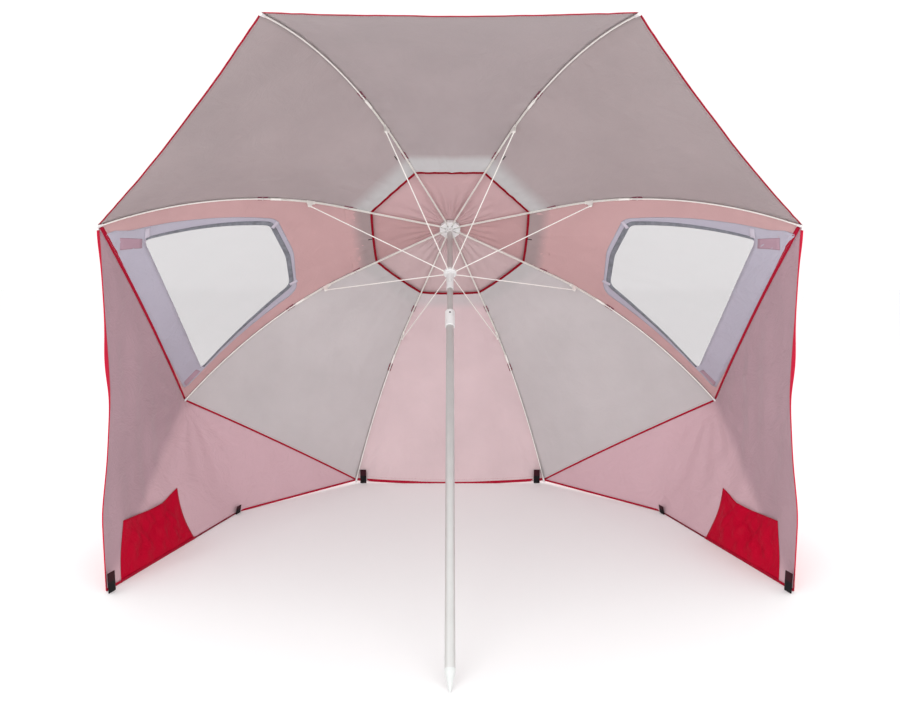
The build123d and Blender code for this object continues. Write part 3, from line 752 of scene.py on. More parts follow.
def on_panel(name, flat, lift):
    """Spots drawn flat over a panel, on the cloth. Across is positive up the lean."""
    sector = SECTORS.index(name)
    u, rho = flat_to_panel(flat[..., 0], flat[..., 1] * tilt_of(name))
    return panel_surface(sector, u, rho, lift)


def held_in(outline, border, gap):
    """An outline cut back where it would pass a border."""
    angles = outline_angles(border)
    return from_middle(np.minimum(reach_from(outline, angles), reach_from(border, angles) - gap), angles)


def polar_ring(piece_name, name, inner, outer, rows, lift, materials):
    """A sheet between two outlines round the window's middle."""
    angles = outline_angles(panel_outline(SECTORS.index(name)))
    low, high = reach_from(inner, angles), reach_from(outer, angles)
    flat = from_middle(low + (high - low) * np.linspace(0, 1, rows)[:, None], angles)
    points = on_panel(name, flat, lift).reshape(-1, 3)
    return new_piece(piece_name, points, grid_faces(rows, len(angles), closed=True), materials,
                     uv=flat.reshape(-1, 2))


def grown(outline, amount):
    """An outline moved outwards from the window's middle."""
    offset = outline - np.array(WINDOW_MIDDLE)
    reach = np.hypot(*offset.T)[:, None]
    return outline + offset / reach * amount


def strip(piece_name, name, path, widths, lift, thickness, materials, columns=5):
    """A flat band sewn on a panel, along a path drawn flat."""
    path = np.asarray(path, float)
    way = unit(np.gradient(path, axis=0))
    side = np.stack([-way[:, 1], way[:, 0]], -1)
    across = np.linspace(-0.5, 0.5, columns)
    flat = path[:, None] + side[:, None] * across[None, :, None] * np.asarray(widths)[:, None, None]
    points = on_panel(name, flat, lift).reshape(-1, 3)
    uv = np.stack(np.broadcast_arrays(across[None, :] * 0.02, run_of(path)[:, None]), -1).reshape(-1, 2)
    piece = face_inwards(new_piece(piece_name, points, grid_faces(len(path), columns), materials, uv=uv))
    thicken(piece, thickness)
    return piece


def stitches(piece_name, line, normal, material, step=0.006, length=0.004, gauge=0.0005):
    """A row of thread stitches along a line."""
    line = np.asarray(line, float)
    run = run_of(line)
    starts = np.arange(step / 2, run[-1] - length, step)
    a, b = read_off(starts, run, line), read_off(starts + length, run, line)
    up = read_off(starts, run, np.broadcast_to(normal, line.shape))
    way = unit(b - a)
    side = np.cross(way, up)
    points, faces = [], []
    middle = (a + b) / 2 + up * gauge * 0.7
    for k in range(len(starts)):
        base = len(points)
        wide = side[k] * gauge
        high = up[k] * gauge
        points += [a[k], middle[k] - wide, middle[k] + high, middle[k] + wide, b[k]]
        faces += [(base, base + 2, base + 1), (base, base + 3, base + 2),
                  (base + 4, base + 1, base + 2), (base + 4, base + 2, base + 3),
                  (base, base + 1, base + 3), (base + 4, base + 3, base + 1)]
    piece = new_piece(piece_name, points, faces, [material], smooth=False)
    mend_normals(piece)
    return piece


def canopy_piece(piece, home):
    """A piece of the canopy that folds with the ribs."""
    return sew(piece, home, canopy_weights(points_of(piece)))


def rim_line(sector, inset=0.0, lift=LIFT):
    u = np.linspace(0.005, 0.995, 161 if SECTORS[sector] == "back" else 41)
    return panel_surface(sector, u, rim_radius(sector, u) - inset, lift), u


def rim_hem(name, width, material):
    """The folded rim of a panel."""
    sector = SECTORS.index(name)
    line, u = rim_line(sector, inset=width * 0.35)
    normal = canopy_normal(sector, rim_radius(sector, u))
    across = np.cross(unit(np.gradient(line, axis=0)), normal)
    depth = HEM_DEPTH
    if name in SIDES:
        up = u if tilt_of(name) > 0 else 1 - u
        swelling = 0.55 * np.exp(-((up - 0.88) / 0.08) ** 2)
        width = (width * (0.65 + 0.35 * smoothstep(up / 0.7) + swelling))[:, None]
        depth = 0.0036
    hem = ribbon(f"rim_hem_{name}", line, across, normal, width, depth, [material])
    canopy_piece(hem, BODY_OF[f"canopy_panel_{name}"])
    return hem


def rim_stitches(name, inset, material):
    sector = SECTORS.index(name)
    line, u = rim_line(sector, inset=inset, lift=LIFT - RIM_THREAD_IN)
    inwards = -canopy_normal(sector, rim_radius(sector, u))
    thread = stitches(f"rim_stitches_{name}", line[1:-1], inwards[1:-1], material)
    canopy_piece(thread, BODY_OF[f"canopy_panel_{name}"])
    return thread


def panels():
    trim = rounded(TRIM, TRIM_ROUND)
    window = rounded(WINDOW, WINDOW_ROUND)
    for sector, name in enumerate(SECTORS):
        home = BODY_OF[f"canopy_panel_{name}"]
        pink = KIND[name] in ("side", "back")
        wide = SIDE_HEM if pink else HEM
        hem = rim_hem(name, wide, HEM_RED)
        thread = rim_stitches(name, wide * 1.15, THREAD_RED)
        if name in SIDES:
            panel = polar_ring(f"panel_{name}", name, grown(window, 0.005), panel_outline(sector), 18, LIFT,
                               [INSIDES_PAINTED_LIGHT["side"], RED_OUT])
        else:
            panel = plain_panel(sector, name)
        face_inwards(panel)
        area = surface_area(panel)
        thicken(panel, CLOTH, outside_slot=OUT_SLOT, rim_slot=OUT_SLOT)
        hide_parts(f"canopy_panel_{name}")
        canopy_piece(panel, home)
    for name in SIDES:
        window_set(name, window, trim)


def window_set(name, window, trim):
    """One window: its cloth trim, clear film and zip, two patches, three tabs and the stitches."""
    home = BODY_OF[f"window_{name}"]
    trim = held_in(trim, panel_outline(SECTORS.index(name)), 0.007)
    band = polar_ring(f"window_trim_cloth_{name}", name, window, trim, 7, LIFT - TRIM_IN, [TRIM_CLOTH])
    face_inwards(band)
    area = surface_area(band)
    thicken(band, 0.0005)
    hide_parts(f"window_trim_{name}")
    canopy_piece(band, home)
    window_film(name, window, home)

    # The zip runs round the window from one front corner to the other, and is widest at the inner end.
    path = zip_path(window)
    run = np.linspace(0, 1, len(path))
    widths = 0.008 + 0.009 * np.sin(math.pi * run) ** 0.7
    tape = strip(f"window_zip_{name}", name, path, widths, LIFT - ZIP_IN, 0.0012, [SLATE])
    canopy_piece(tape, home)

    on_trim = [window_patch(f"window_patch_high_{name}", name, PATCH_HIGH, home),
               window_patch(f"window_patch_low_{name}", name, PATCH_LOW, home)]
    for number, (x, y, turn) in enumerate(TABS):
        half = np.array([math.cos(turn), math.sin(turn)]) * 0.016
        line = np.linspace(np.array([x, y]) - half, np.array([x, y]) + half, 9)
        tab = strip(f"window_tab_{number + 1}_{name}", name, line, np.full(9, 0.013), LIFT - TAB_IN, 0.0006,
                    [TAB_CLOTH])
        canopy_piece(tab, home)
        on_trim.append(tab)

    for label, outline in (("outer", grown(trim, -0.004)), ("inner", grown(window, 0.010))):
        closed = np.concatenate([outline, outline[:1]])
        line = on_panel(name, closed, LIFT - WINDOW_THREAD_IN)
        normal = -canopy_normal(SECTORS.index(name), np.full(len(line), 0.8))
        thread = stitches(f"window_stitches_{label}_{name}", line, normal, THREAD_PALE)
        canopy_piece(thread, home)
        on_trim.append(thread)


def window_film(name, window, home):
    angles = np.linspace(-math.pi, math.pi, 145)[:-1]
    reach = reach_from(grown(window, WINDOW_LAP), angles)
    rows = 16
    flat = from_middle(reach * np.linspace(0.06, 1, rows)[:, None], angles)
    flat = np.concatenate([flat.reshape(-1, 2), [WINDOW_MIDDLE]])
    points = on_panel(name, flat, LIFT - FILM_IN)
    faces = grid_faces(rows, len(angles), closed=True)
    faces += [((k + 1) % len(angles), k, len(flat) - 1) for k in range(len(angles))]
    film = face_inwards(new_piece(f"window_film_{name}", points, faces, [FILM], uv=flat))
    film_area = surface_area(film)
    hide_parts(f"window_{name}")
    canopy_piece(film, home)


def window_patch(piece_name, name, corners, home):
    """A small four-sided patch on the trim."""
    s, t = np.meshgrid(np.linspace(0, 1, 9), np.linspace(0, 1, 7))
    a, b, c, d = (np.array(p) for p in corners)
    flat = ((1 - s) * (1 - t))[..., None] * a + (s * (1 - t))[..., None] * b + \
        (s * t)[..., None] * c + ((1 - s) * t)[..., None] * d
    patch = face_inwards(new_piece(piece_name, on_panel(name, flat, LIFT - PATCH_IN).reshape(-1, 3),
                                   grid_faces(7, 9), [PATCH_CLOTH], uv=flat.reshape(-1, 2)))
    thicken(patch, 0.0006)
    return canopy_piece(patch, home)


def zip_path(window):
    """The part of the window's outline that the zip follows."""
    high = math.atan2(WINDOW[0][1] - WINDOW_MIDDLE[1], WINDOW[0][0] - 0.006 - WINDOW_MIDDLE[0])
    low = math.atan2(WINDOW[4][1] - WINDOW_MIDDLE[1], WINDOW[4][0] - 0.006 - WINDOW_MIDDLE[0]) + 2 * math.pi
    swept = np.linspace(high, low, 150)
    return from_middle(reach_from(grown(window, 0.006), (swept + math.pi) % (2 * math.pi) - math.pi), swept)


# ---- Vent --------------------------------------------------------------------------------------
def facing_ring(inner, outer, rows, lift, columns, ripple):
    """The facing round the vent: a ring of cloth across all eight sectors, sewn along the ribs."""
    points, uv = [], []
    share = np.linspace(0, 1, rows)[:, None]
    for sector in range(RIBS):
        u = np.linspace(0, 1, columns)[None, :-1] * np.ones((rows, 1))
        rho = inner + (outer - inner) * share * np.ones_like(u)
        spot = panel_surface(sector, u, rho, lift)
        edge = np.minimum(u, 1 - u)
        sewn = smoothstep(edge / 0.08)
        waves = ripple * (1 - share) * np.sin(rho * 190 + sector) * np.sin(edge * 22) * sewn
        points.append(spot + canopy_normal(sector, rho) * waves[..., None])
        uv.append(np.stack([(u - 0.5) * rho * SPREAD, rho], -1))
    points = np.concatenate(points, axis=1)
    uv = np.concatenate(uv, axis=1)
    return new_piece("vent_facing", points.reshape(-1, 3), grid_faces(rows, points.shape[1], closed=True),
                     list(FACINGS_PAINTED_LIGHT.values()), uv=uv.reshape(-1, 2))


def band_round(name, place, rho, width, depth, material):
    """A closed band: place gives its line in one sector, and rho is where the cloth's slope is taken."""
    u = np.linspace(0, 1, 19)[:-1]
    line = np.concatenate([place(sector, u) for sector in range(RIBS)])
    normals = np.concatenate([canopy_normal(sector, np.full(len(u), rho)) for sector in range(RIBS)])
    along = unit(np.roll(line, -1, axis=0) - np.roll(line, 1, axis=0))
    across = unit(np.cross(along, normals))
    band = ribbon(name, line, across, normals, width, depth, [material], closed=True)
    return canopy_piece(band, "rib_1")


def paint_sectors(piece, slot_of):
    """Give each face the material of the sector that it lies in."""
    middles = RADIAL + np.roll(RADIAL, -1, axis=0)
    centres = np.array([f.center for f in piece.data.polygons]) - HUB
    sectors = np.argmax(centres @ middles.T, axis=1)
    slots = [slot_of[KIND[SECTORS[sector]]] for sector in sectors]
    piece.data.polygons.foreach_set("material_index", slots)


def vent():
    home = "rib_1"
    rows = 20
    lift = LIFT - np.linspace(0.0014, -0.00005, rows)[:, None]      # the outer edge sinks into the panels
    facing = face_inwards(facing_ring(VENT_R + 0.006, FACING_R, rows, lift, columns=49, ripple=0.0003))
    paint_sectors(facing, {kind: slot for slot, kind in enumerate(FACINGS_PAINTED_LIGHT)})
    area = surface_area(facing)
    thicken(facing, 0.0004)
    canopy_piece(facing, home)

    def vent_edge(sector, u):
        return panel_surface(sector, u, VENT_R + 0.002 + 0.004 * 4 * u * (1 - u), LIFT - BINDING_IN)
    band_round("vent_binding", vent_edge, VENT_R, BINDING_WIDTH, 0.0042, BINDING)

    for name, (u, start) in TETHERS.items():
        sector = SECTORS.index(name)
        rho = np.linspace(start, start + 0.020, 9)
        across = np.linspace(-0.5, 0.5, 4) * 0.0026 / (start * SPREAD)
        grid_u, grid_r = np.meshgrid(u + across, rho)
        points = panel_surface(sector, grid_u, grid_r, LIFT - TETHER_IN).reshape(-1, 3)
        tether = face_inwards(new_piece(f"vent_tether_{name}", points, grid_faces(9, 4), [BLACK],
                                        uv=np.stack([grid_u, grid_r], -1).reshape(-1, 2)))
        thicken(tether, 0.0014)
        canopy_piece(tether, home)
    vent_cap()


def cap_point(sector, u, radius, push):
    """The vent cap: a shallow cone above the vent, held at the hub and at the ribs."""
    fall = (radius - HUB_R) * math.tan(LINE_SLOPE[0]) - 0.008
    a, b = RADIAL[sector], RADIAL[(sector + 1) % RIBS]
    across = (1 - u)[..., None] * a + u[..., None] * b
    return HUB + radius[..., None] * across + (fall - push)[..., None] * DOWN


def vent_cap():
    rows, columns, start = 46, 29, 0.016
    points, uv = [], []
    share = np.linspace(0, 1, rows)[:, None]
    for sector in range(RIBS):
        u = np.linspace(0, 1, columns)[None, :-1] * np.ones((rows, 1))
        radius = start + (CAP_R - start) * share ** 1.1 * np.ones_like(u)
        radius = radius - 0.006 * 4 * u * (1 - u) * smoothstep((radius - 0.3) / 0.14)
        edge = np.minimum(u, 1 - u)
        free = smoothstep((radius - 0.05) / 0.03) * smoothstep((CAP_R + 0.004 - radius) / 0.06)
        rays = np.sin(u * 2 * math.pi * 4 + sector * 1.7) * np.exp(-((radius - 0.13) / 0.085) ** 2)
        broad = np.sin(u * math.pi) ** 2 * smoothstep((radius - 0.06) / 0.12)
        ripples = wave_noise(u * 4 + sector, radius * 22, sector + 3.0) * smoothstep(edge / 0.06)
        push = free * (0.0042 * rays + 0.0026 * ripples) + 0.0015 - 0.003 * broad
        over_hub = np.clip(HUB_R - radius, 0, 1) * math.tan(LINE_SLOPE[0])      # the cap lies flat there
        points.append(cap_point(sector, u, radius, push) - over_hub[..., None] * DOWN)
        uv.append(np.stack([(u - 0.5) * radius * SPREAD + sector, radius], -1))
    points = np.concatenate(points, axis=1)
    cloths = ["cap_top", "cap_side", "cap_low"]
    cap = new_piece("vent_cap_cloth", points.reshape(-1, 3), grid_faces(rows, points.shape[1], closed=True),
                    [INSIDES_PAINTED_LIGHT[cloth] for cloth in cloths] + [RED_OUT] * len(cloths),
                    uv=np.concatenate(uv, axis=1).reshape(-1, 2))
    paint_sectors(cap, {kind: cloths.index(cloth) for kind, cloth in CAP_KINDS.items()})
    face_inwards(cap)
    area = surface_area(cap)
    thicken(cap, CLOTH, outside_slot=len(cloths), rim_slot=len(cloths))
    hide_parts("vent_cap")
    spots = points_of(cap)
    weights = canopy_weights(spots)
    offset = spots - HUB
    radius = np.linalg.norm(offset - (offset @ DOWN)[:, None] * DOWN, axis=1)
    held = 1 - smoothstep((radius - HUB_R) / 0.08)
    weights = {body: amount * (1 - held) for body, amount in weights.items()}
    weights["upper_pole"] = held
    sew(cap, "upper_pole", weights)

    def cap_edge(sector, u):
        radius = CAP_R - 0.004 - 0.006 * 4 * u * (1 - u)
        return cap_point(sector, u, radius, 0.0015 - 0.003 * np.sin(u * math.pi) ** 2)
    hem = band_round("vent_cap_hem", cap_edge, 0.4, 0.009, HEM_DEPTH, RED_OUT)


# ---- Seams and ties ----------------------------------------------------------------------------
def rib_frame(k, rho):
    """Points on a rib's centre line, the way out of the cloth, and the way across the rib."""
    slope = np.interp(rho, LINE_R, LINE_SLOPE)
    drop = np.interp(rho, LINE_R, LINE_Q)
    middle = HUB + rho[:, None] * RADIAL[k] + drop[:, None] * DOWN
    normal = np.sin(slope)[:, None] * RADIAL[k] - np.cos(slope)[:, None] * DOWN
    across = np.broadcast_to(np.cross(DOWN, RADIAL[k]), middle.shape)
    return middle, normal, across


def seams_and_ties():
    for k in range(RIBS):
        home = f"rib_{k + 1}"
        rho = np.linspace(VENT_R + 0.006, RIM_R - 0.022, 90)
        middle, normal, across = rib_frame(k, rho)
        line = middle + normal * LIFT
        seam = ribbon(f"seam_{k + 1}", line, across, normal, SEAM_WIDTH, 0.0018, [SEAM_GREY, RED_OUT])
        outward = np.array([f.normal for f in seam.data.polygons]) @ normal.mean(0) > 0.15
        seam.data.polygons.foreach_set("material_index", outward.astype(int).tolist())
        canopy_piece(seam, home)
        for label, side in (("a", -1), ("b", 1)):
            thread = stitches(f"seam_stitches_{label}_{k + 1}",
                              line + across * side * SEAM_WIDTH * 0.32 + normal * 0.0009, normal, THREAD_RED)
            canopy_piece(thread, home)
        for label, spot in zip("ab", TIE_AT):
            for part in rib_tie(f"{label}_{k + 1}", k, spot):
                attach(part, home)


def rib_tie(label, k, spot):
    """A patch sewn on the seam, with a short tape from it round the rib."""
    middle, normal, across = (x[0] for x in rib_frame(k, np.array([spot])))
    along = np.cross(across, normal)
    angles = np.linspace(0, 2 * math.pi, 25)[:-1]
    line = middle + normal * 0.0006 + np.cos(angles)[:, None] * across * 0.0040 + \
        np.sin(angles)[:, None] * normal * 0.0050
    outwards = np.cos(angles)[:, None] * across + np.sin(angles)[:, None] * normal
    tape = ribbon(f"rib_tie_{label}", line, np.broadcast_to(along, line.shape), outwards, 0.005, 0.0008,
                  [TIE_TAPE], closed=True)
    rho = np.linspace(spot - 0.017, spot + 0.017, 9)
    columns = []
    for x in np.linspace(-0.00825, 0.00825, 9):
        share = abs(x) / (2 * rho * math.sin(HALF))
        sector, u = (k, share) if x > 0 else ((k - 1) % RIBS, 1 - share)
        columns.append(panel_surface(sector, u, rho, LIFT - TIE_PATCH_IN))
    patch = new_piece(f"rib_patch_{label}", np.stack(columns, 1).reshape(-1, 3),
                      grid_faces(len(rho), len(columns)), [TIE_CLOTH])
    face_inwards(patch)
    thicken(patch, 0.0008)
    return tape, patch


# ---- Side walls --------------------------------------------------------------------------------
class Wall:
    """One side wall: a single sheet from the rim to the ground, from the open front to the low rim."""

    def __init__(self, side):
        self.side = side
        right = side == "right"
        self.sign = 1 if right else -1
        self.front_sector, self.rear_sector = (7, 0) if right else (3, 2)
        self.front_rib, self.middle_rib, self.back_rib = (8, 1, 2) if right else (5, 4, 3)
        self.front_body, self.rear_body = f"side_wall_front_{side}", f"side_wall_rear_{side}"
        self.corner = self.place(CORNER_FRONT)
        self.foot = self.place(CORNER_MIDDLE)
        self.hem = (self.foot - self.corner) / np.linalg.norm(self.foot - self.corner)
        self.front = self.rim(self.front_sector, np.array([0.0]))[0]
        self.middle = self.rim(self.front_sector, np.array([1.0]))[0]
        self.back = self.rim(self.rear_sector, np.array([1.0]))[0]
        self.edge = np.array([self.front] + [self.place(p) for p in FRONT_EDGE] + [self.corner])

    def place(self, point):
        return np.array([point[0] * self.sign, point[1], point[2]])

    def rim(self, sector, share):
        """A point of a rim: share runs away from the open front."""
        u = share if self.side == "right" else 1 - share
        spot = panel_surface(sector, u, rim_radius(sector, u) - 0.002)
        return spot + np.array([0, 0, -0.0025])

    def edge_point(self, share):
        """The front edge, from the tip down to the ground, as a smooth line."""
        run = run_of(self.edge)
        fine = np.linspace(0, 1, 200)
        rough = read_off(fine, run / run[-1], self.edge)
        for _ in range(60):
            rough[1:-1] = (rough[:-2] + rough[2:] + 2 * rough[1:-1]) / 4
        return read_off(share, fine, rough)

    def patch(self, a, b, c, ab=None, ac=None, bc=None):
        """A triangle of cloth whose sides may be curves. a, b, c are its corners."""
        n = WALL_STEPS
        spots, weights, index = [], [], {}
        for i in range(n + 1):
            for j in range(n + 1 - i):
                wb, wc = i / n, j / n
                wa = 1 - wb - wc
                spot = wa * a + wb * b + wc * c
                for curve, first, second, w1, w2, w3 in (
                        (ab, a, b, wa, wb, wc), (ac, a, c, wa, wc, wb), (bc, b, c, wb, wc, wa)):
                    if curve is not None and w1 + w2 > 1e-9:
                        share = w2 / (w1 + w2)
                        straight = first + (second - first) * share
                        spot = spot + (curve(np.array([share]))[0] - straight) * (1 - w3)
                index[i, j] = len(spots)
                spots.append(spot)
                weights.append((wa, wb, wc))
        faces = []
        for i in range(n):
            for j in range(n - i):
                faces.append((index[i, j], index[i + 1, j], index[i, j + 1]))
                if j < n - i - 1:
                    faces.append((index[i + 1, j], index[i + 1, j + 1], index[i, j + 1]))
        return np.array(spots), faces, np.array(weights)

    def sheet(self):
        t3, t2, t1, c, m = self.front, self.middle, self.back, self.corner, self.foot
        patches = [
            (self.patch(t3, c, t2, ab=self.edge_point, ac=lambda s: self.rim(self.front_sector, s)),
             self.weights_of(("t3", "c", "t2"))),
            (self.patch(t2, c, m), self.weights_of(("t2", "c", "m"))),
            (self.patch(t2, m, t1, ac=lambda s: self.rim(self.rear_sector, s)),
             self.weights_of(("t2", "m", "t1")))]
        points, faces, skins = [], [], []
        for (spots, triangles, shares), table in patches:
            base = len(points)
            points += list(spots)
            faces += [tuple(base + k for k in f) for f in triangles]
            skins += list(shares @ table)
        points, faces, skins = self.weld(np.array(points), faces, np.array(skins))
        points = self.relax(points, faces)
        return points, faces, skins

    def bodies(self):
        return [f"rib_{self.front_rib}", f"rib_{self.middle_rib}", f"rib_{self.back_rib}", self.front_body,
                self.rear_body]

    def weights_of(self, corners):
        """How each corner follows the bodies that the wall is sewn to."""
        follow = {"t3": (1, 0, 0, 0, 0), "t2": (0, 1, 0, 0, 0), "t1": (0, 0, 1, 0, 0),
                  "c": (0, 0, 0, 0.5, 0.5), "m": (0, 0, 0, 0.2, 0.8)}
        return np.array([follow[name] for name in corners], float)

    def weld(self, points, faces, skins):
        keys = {}
        place = []
        for spot in np.round(points * 1e5).astype(int):
            place.append(keys.setdefault(tuple(spot), len(keys)))
        place = np.array(place)
        count = len(keys)
        first = np.zeros(count, int)
        first[place[::-1]] = np.arange(len(points))[::-1]
        faces = [tuple(place[list(f)]) for f in faces]
        faces = [f for f in faces if len(set(f)) == 3]
        return points[first], faces, skins[first]

    def relax(self, points, faces):
        """Let the creases between the patches round off, then hang soft folds on the sheet."""
        edges = {}
        for f in faces:
            for k in range(3):
                pair = tuple(sorted((f[k], f[(k + 1) % 3])))
                edges[pair] = edges.get(pair, 0) + 1
        pairs = np.array(list(edges))
        rim = np.unique(pairs[np.array(list(edges.values())) == 1])
        free = np.ones(len(points), bool)
        free[rim] = False
        degree = np.bincount(pairs.ravel(), minlength=len(points))[:, None]
        for _ in range(26):
            total = np.zeros_like(points)
            np.add.at(total, pairs[:, 0], points[pairs[:, 1]])
            np.add.at(total, pairs[:, 1], points[pairs[:, 0]])
            points = np.where(free[:, None], 0.4 * points + 0.6 * total / degree, points)
        normals = np.zeros_like(points)
        corners = np.array(faces)
        a, b, c = (points[corners[:, k]] for k in range(3))
        face_way = np.cross(b - a, c - a)
        for k in range(3):
            np.add.at(normals, corners[:, k], face_way)
        normals = unit(normals)
        normals *= np.sign((normals * np.array([self.sign, 0.2, 0])).sum(1))[:, None]
        gap = np.min(np.linalg.norm(points[:, None] - points[rim][None], axis=2), axis=1)
        return points + normals * (self.folds(points) * smoothstep(gap / 0.07))[:, None]

    def folds(self, points):
        """Folds fall from the rim and run out of the middle tip towards the ground."""
        spread = points - self.middle
        angle = np.arctan2(-spread[:, 2], spread[:, 1])
        reach = np.linalg.norm(spread, axis=1)
        rays = np.sin(angle * 17) * np.exp(-((reach - 0.20) / 0.17) ** 2) * 0.0035
        hanging = np.sin(points[:, 1] * 48 + np.sin(points[:, 2] * 4) * 1.9)
        front = smoothstep((self.middle[1] - 0.05 - points[:, 1]) / 0.25)
        drapes = 0.0022 * front * hanging * smoothstep((1.18 - points[:, 2]) / 0.3)
        noise = 0.0040 * wave_noise(points[:, 1] * 7, points[:, 2] * 4, 2.0 + 0.1 * self.front_rib)
        return rays + drapes + noise


def wall_uv(points):
    return np.stack([points[:, 1], points[:, 2]], -1)


def wall_cloth_painted_light_and_shade(wall):
    """A wall's inside, with painted light and shade: darker in front of the crease from the middle tip to
    the front corner, where the wall faces away from the light, and lighter behind it.
    """
    cloth = fabric(f"wall_inside_painted_light_and_shade_{wall.side}", WALL_FRONT_PAINTED_SHADE, wrinkle=0.8)
    crease = wall.corner - wall.middle
    way = np.array([0, -crease[2], crease[1]]) / math.hypot(crease[1], crease[2])
    way *= np.sign(way[1])
    level = float(way @ wall.middle)
    return fade(cloth, WALL_REAR_PAINTED_LIGHT, "Object", tuple(way), level - 0.045, level + 0.02)


def fold_guard(side):
    """A hidden block that keeps a wall on its own side of the pole when the umbrella is closed."""
    sign = 1 if side == "right" else -1
    near, far = GUARD_GAP * sign, (GUARD_GAP - 1.5) * sign
    corners = [(x, y, z) for x in (near, far) for y in (-4, 4) for z in (-4, 4)]
    faces = [(0, 1, 3, 2), (4, 5, 7, 6), (0, 1, 5, 4), (2, 3, 7, 6), (0, 2, 6, 4), (1, 3, 7, 5)]
    guard = new_piece(f"fold_guard_{side}", corners, faces, [], smooth=False)
    mend_normals(guard)
    guard.hide_render = True
    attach(guard, "lower_pole")
    return guard


def keep_aside(piece, wall, guard, gap):
    """Hold a piece outside its guard, which is far from it when the umbrella is open.

    The wall folds over on itself, so its front part lies nearer the pole and the rest lies outside that.
    """
    outer = piece.vertex_groups.new(name="outer")
    front = piece.vertex_groups.find(f"rib_{wall.front_rib}")
    for spot in piece.data.vertices:
        share = sum(g.weight for g in spot.groups if g.group == front)
        outer.add([spot.index], max(0.0, 1 - 12 * share), "REPLACE")
    layers = (("keep_aside", gap), ("keep_outside", gap + LAYER_GAP))
    for place, (name, offset) in enumerate(layers):
        press = piece.modifiers.new(name, "SHRINKWRAP")
        press.wrap_method = "NEAREST_SURFACEPOINT"
        press.wrap_mode = "OUTSIDE"
        press.target = guard
        press.offset = offset
        if offset > gap:
            press.vertex_group = "outer"
        piece.modifiers.move(len(piece.modifiers) - 1, place + 1)
    return piece


def side_wall(side):
    wall = Wall(side)
    guard = fold_guard(side)
    points, faces, skins = wall.sheet()
    sheet = new_piece(f"side_wall_{side}", points, faces, [wall_cloth_painted_light_and_shade(wall), RED_OUT], uv=wall_uv(points))
    mend_normals(sheet)
    turn_faces(sheet, lambda f: -f.normal.x * f.calc_area() * wall.sign)
    area = surface_area(sheet)
    weights = dict(zip(wall.bodies(), skins.T))
    finer = sheet.modifiers.new("finer", "SUBSURF")
    finer.levels = 1
    finer.render_levels = 1
    finer.boundary_smooth = "PRESERVE_CORNERS"
    thicken(sheet, CLOTH, outside_slot=OUT_SLOT, rim_slot=OUT_SLOT)
    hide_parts(f"side_wall_front_{side}", f"side_wall_rear_{side}")
    keep_aside(sew(sheet, wall.rear_body, weights), wall, guard, 0.0015)
    with_pieces = wall_trimmings(wall, points, skins)
    for piece in with_pieces:
        keep_aside(piece, wall, guard, 0.0004 if "pocket" in piece.name else 0.0020)


def nearest_skin(wall, points, skins, spots):
    """Weights for new points, from the nearest points of the wall."""
    gap = np.linalg.norm(spots[:, None] - points[None], axis=2)
    near = np.argsort(gap, axis=1)[:, :3]
    share = 1 / (np.take_along_axis(gap, near, axis=1) + 1e-4)
    share /= share.sum(1)[:, None]
    mixed = (skins[near] * share[..., None]).sum(1)
    return dict(zip(wall.bodies(), mixed.T))


def wall_ribbon(wall, name, line, widths, depth, material, outward, points, skins):
    """A hem along an edge of a wall. widths is one number, or one for each point."""
    way = unit(np.gradient(line, axis=0))
    across = unit(np.cross(way, np.broadcast_to(outward, line.shape)))
    widths = np.broadcast_to(widths, len(line))[:, None]
    piece = ribbon(name, line, across, np.cross(across, way), widths, depth, [material])
    return sew(piece, wall.rear_body, nearest_skin(wall, points, skins, points_of(piece)))


def lifted(line, level):
    line = np.array(line)
    line[:, 2] = np.maximum(line[:, 2], level)
    return line


def wall_trimmings(wall, points, skins):
    """The hems, the sand pocket and the webbing loops of one side wall."""
    side, made = wall.side, []
    outward = np.array([wall.sign, 0.25, 0])
    share = np.linspace(0.012, 0.998, 110)
    line = wall.edge_point(share)
    narrow = 0.005
    at_middle, at_top = np.exp(-((share - 0.37) / 0.08) ** 2), np.exp(-((share - 0.03) / 0.06) ** 2)
    widths = narrow + 0.014 * at_middle + 0.008 * at_top
    shift = np.array([0, -0.5, 0]) * (widths - narrow)[:, None]
    made.append(wall_ribbon(wall, f"front_hem_{side}", lifted(line + shift, 0.0015), widths, HEM_DEPTH,
                            RED_OUT, outward, points, skins))
    pocket_end = wall.corner + (wall.foot - wall.corner) * POCKET_END
    for label, first, second, width, inset, cloth in (
            ("corner", wall.corner, pocket_end, 0.0095, 0.0015, HEM_RED),
            # the front part of the ground hem takes the hem red with painted shade
            ("front", pocket_end, wall.foot, 0.0065, 0.0, HEM_RED_PAINTED_SHADE),
            ("rear", wall.foot, wall.back, 0.0085, 0.0025, HEM_RED)):
        share = np.linspace(0.0, 1.0, 60)[:, None]
        line = first + (second - first) * share
        way = (second - first) / np.linalg.norm(second - first)
        out = np.array([way[1], -way[0], 0]) * wall.sign
        out *= np.sign(out[0] * wall.sign)
        line = lifted(line - out * inset + np.array([0, 0, width / 2]), width / 2)
        made.append(wall_ribbon(wall, f"ground_hem_{label}_{side}", line, width, 0.0030, cloth, out,
                                points, skins))
    made.append(pocket(wall, points, skins))
    return made + loops(wall, points, skins)


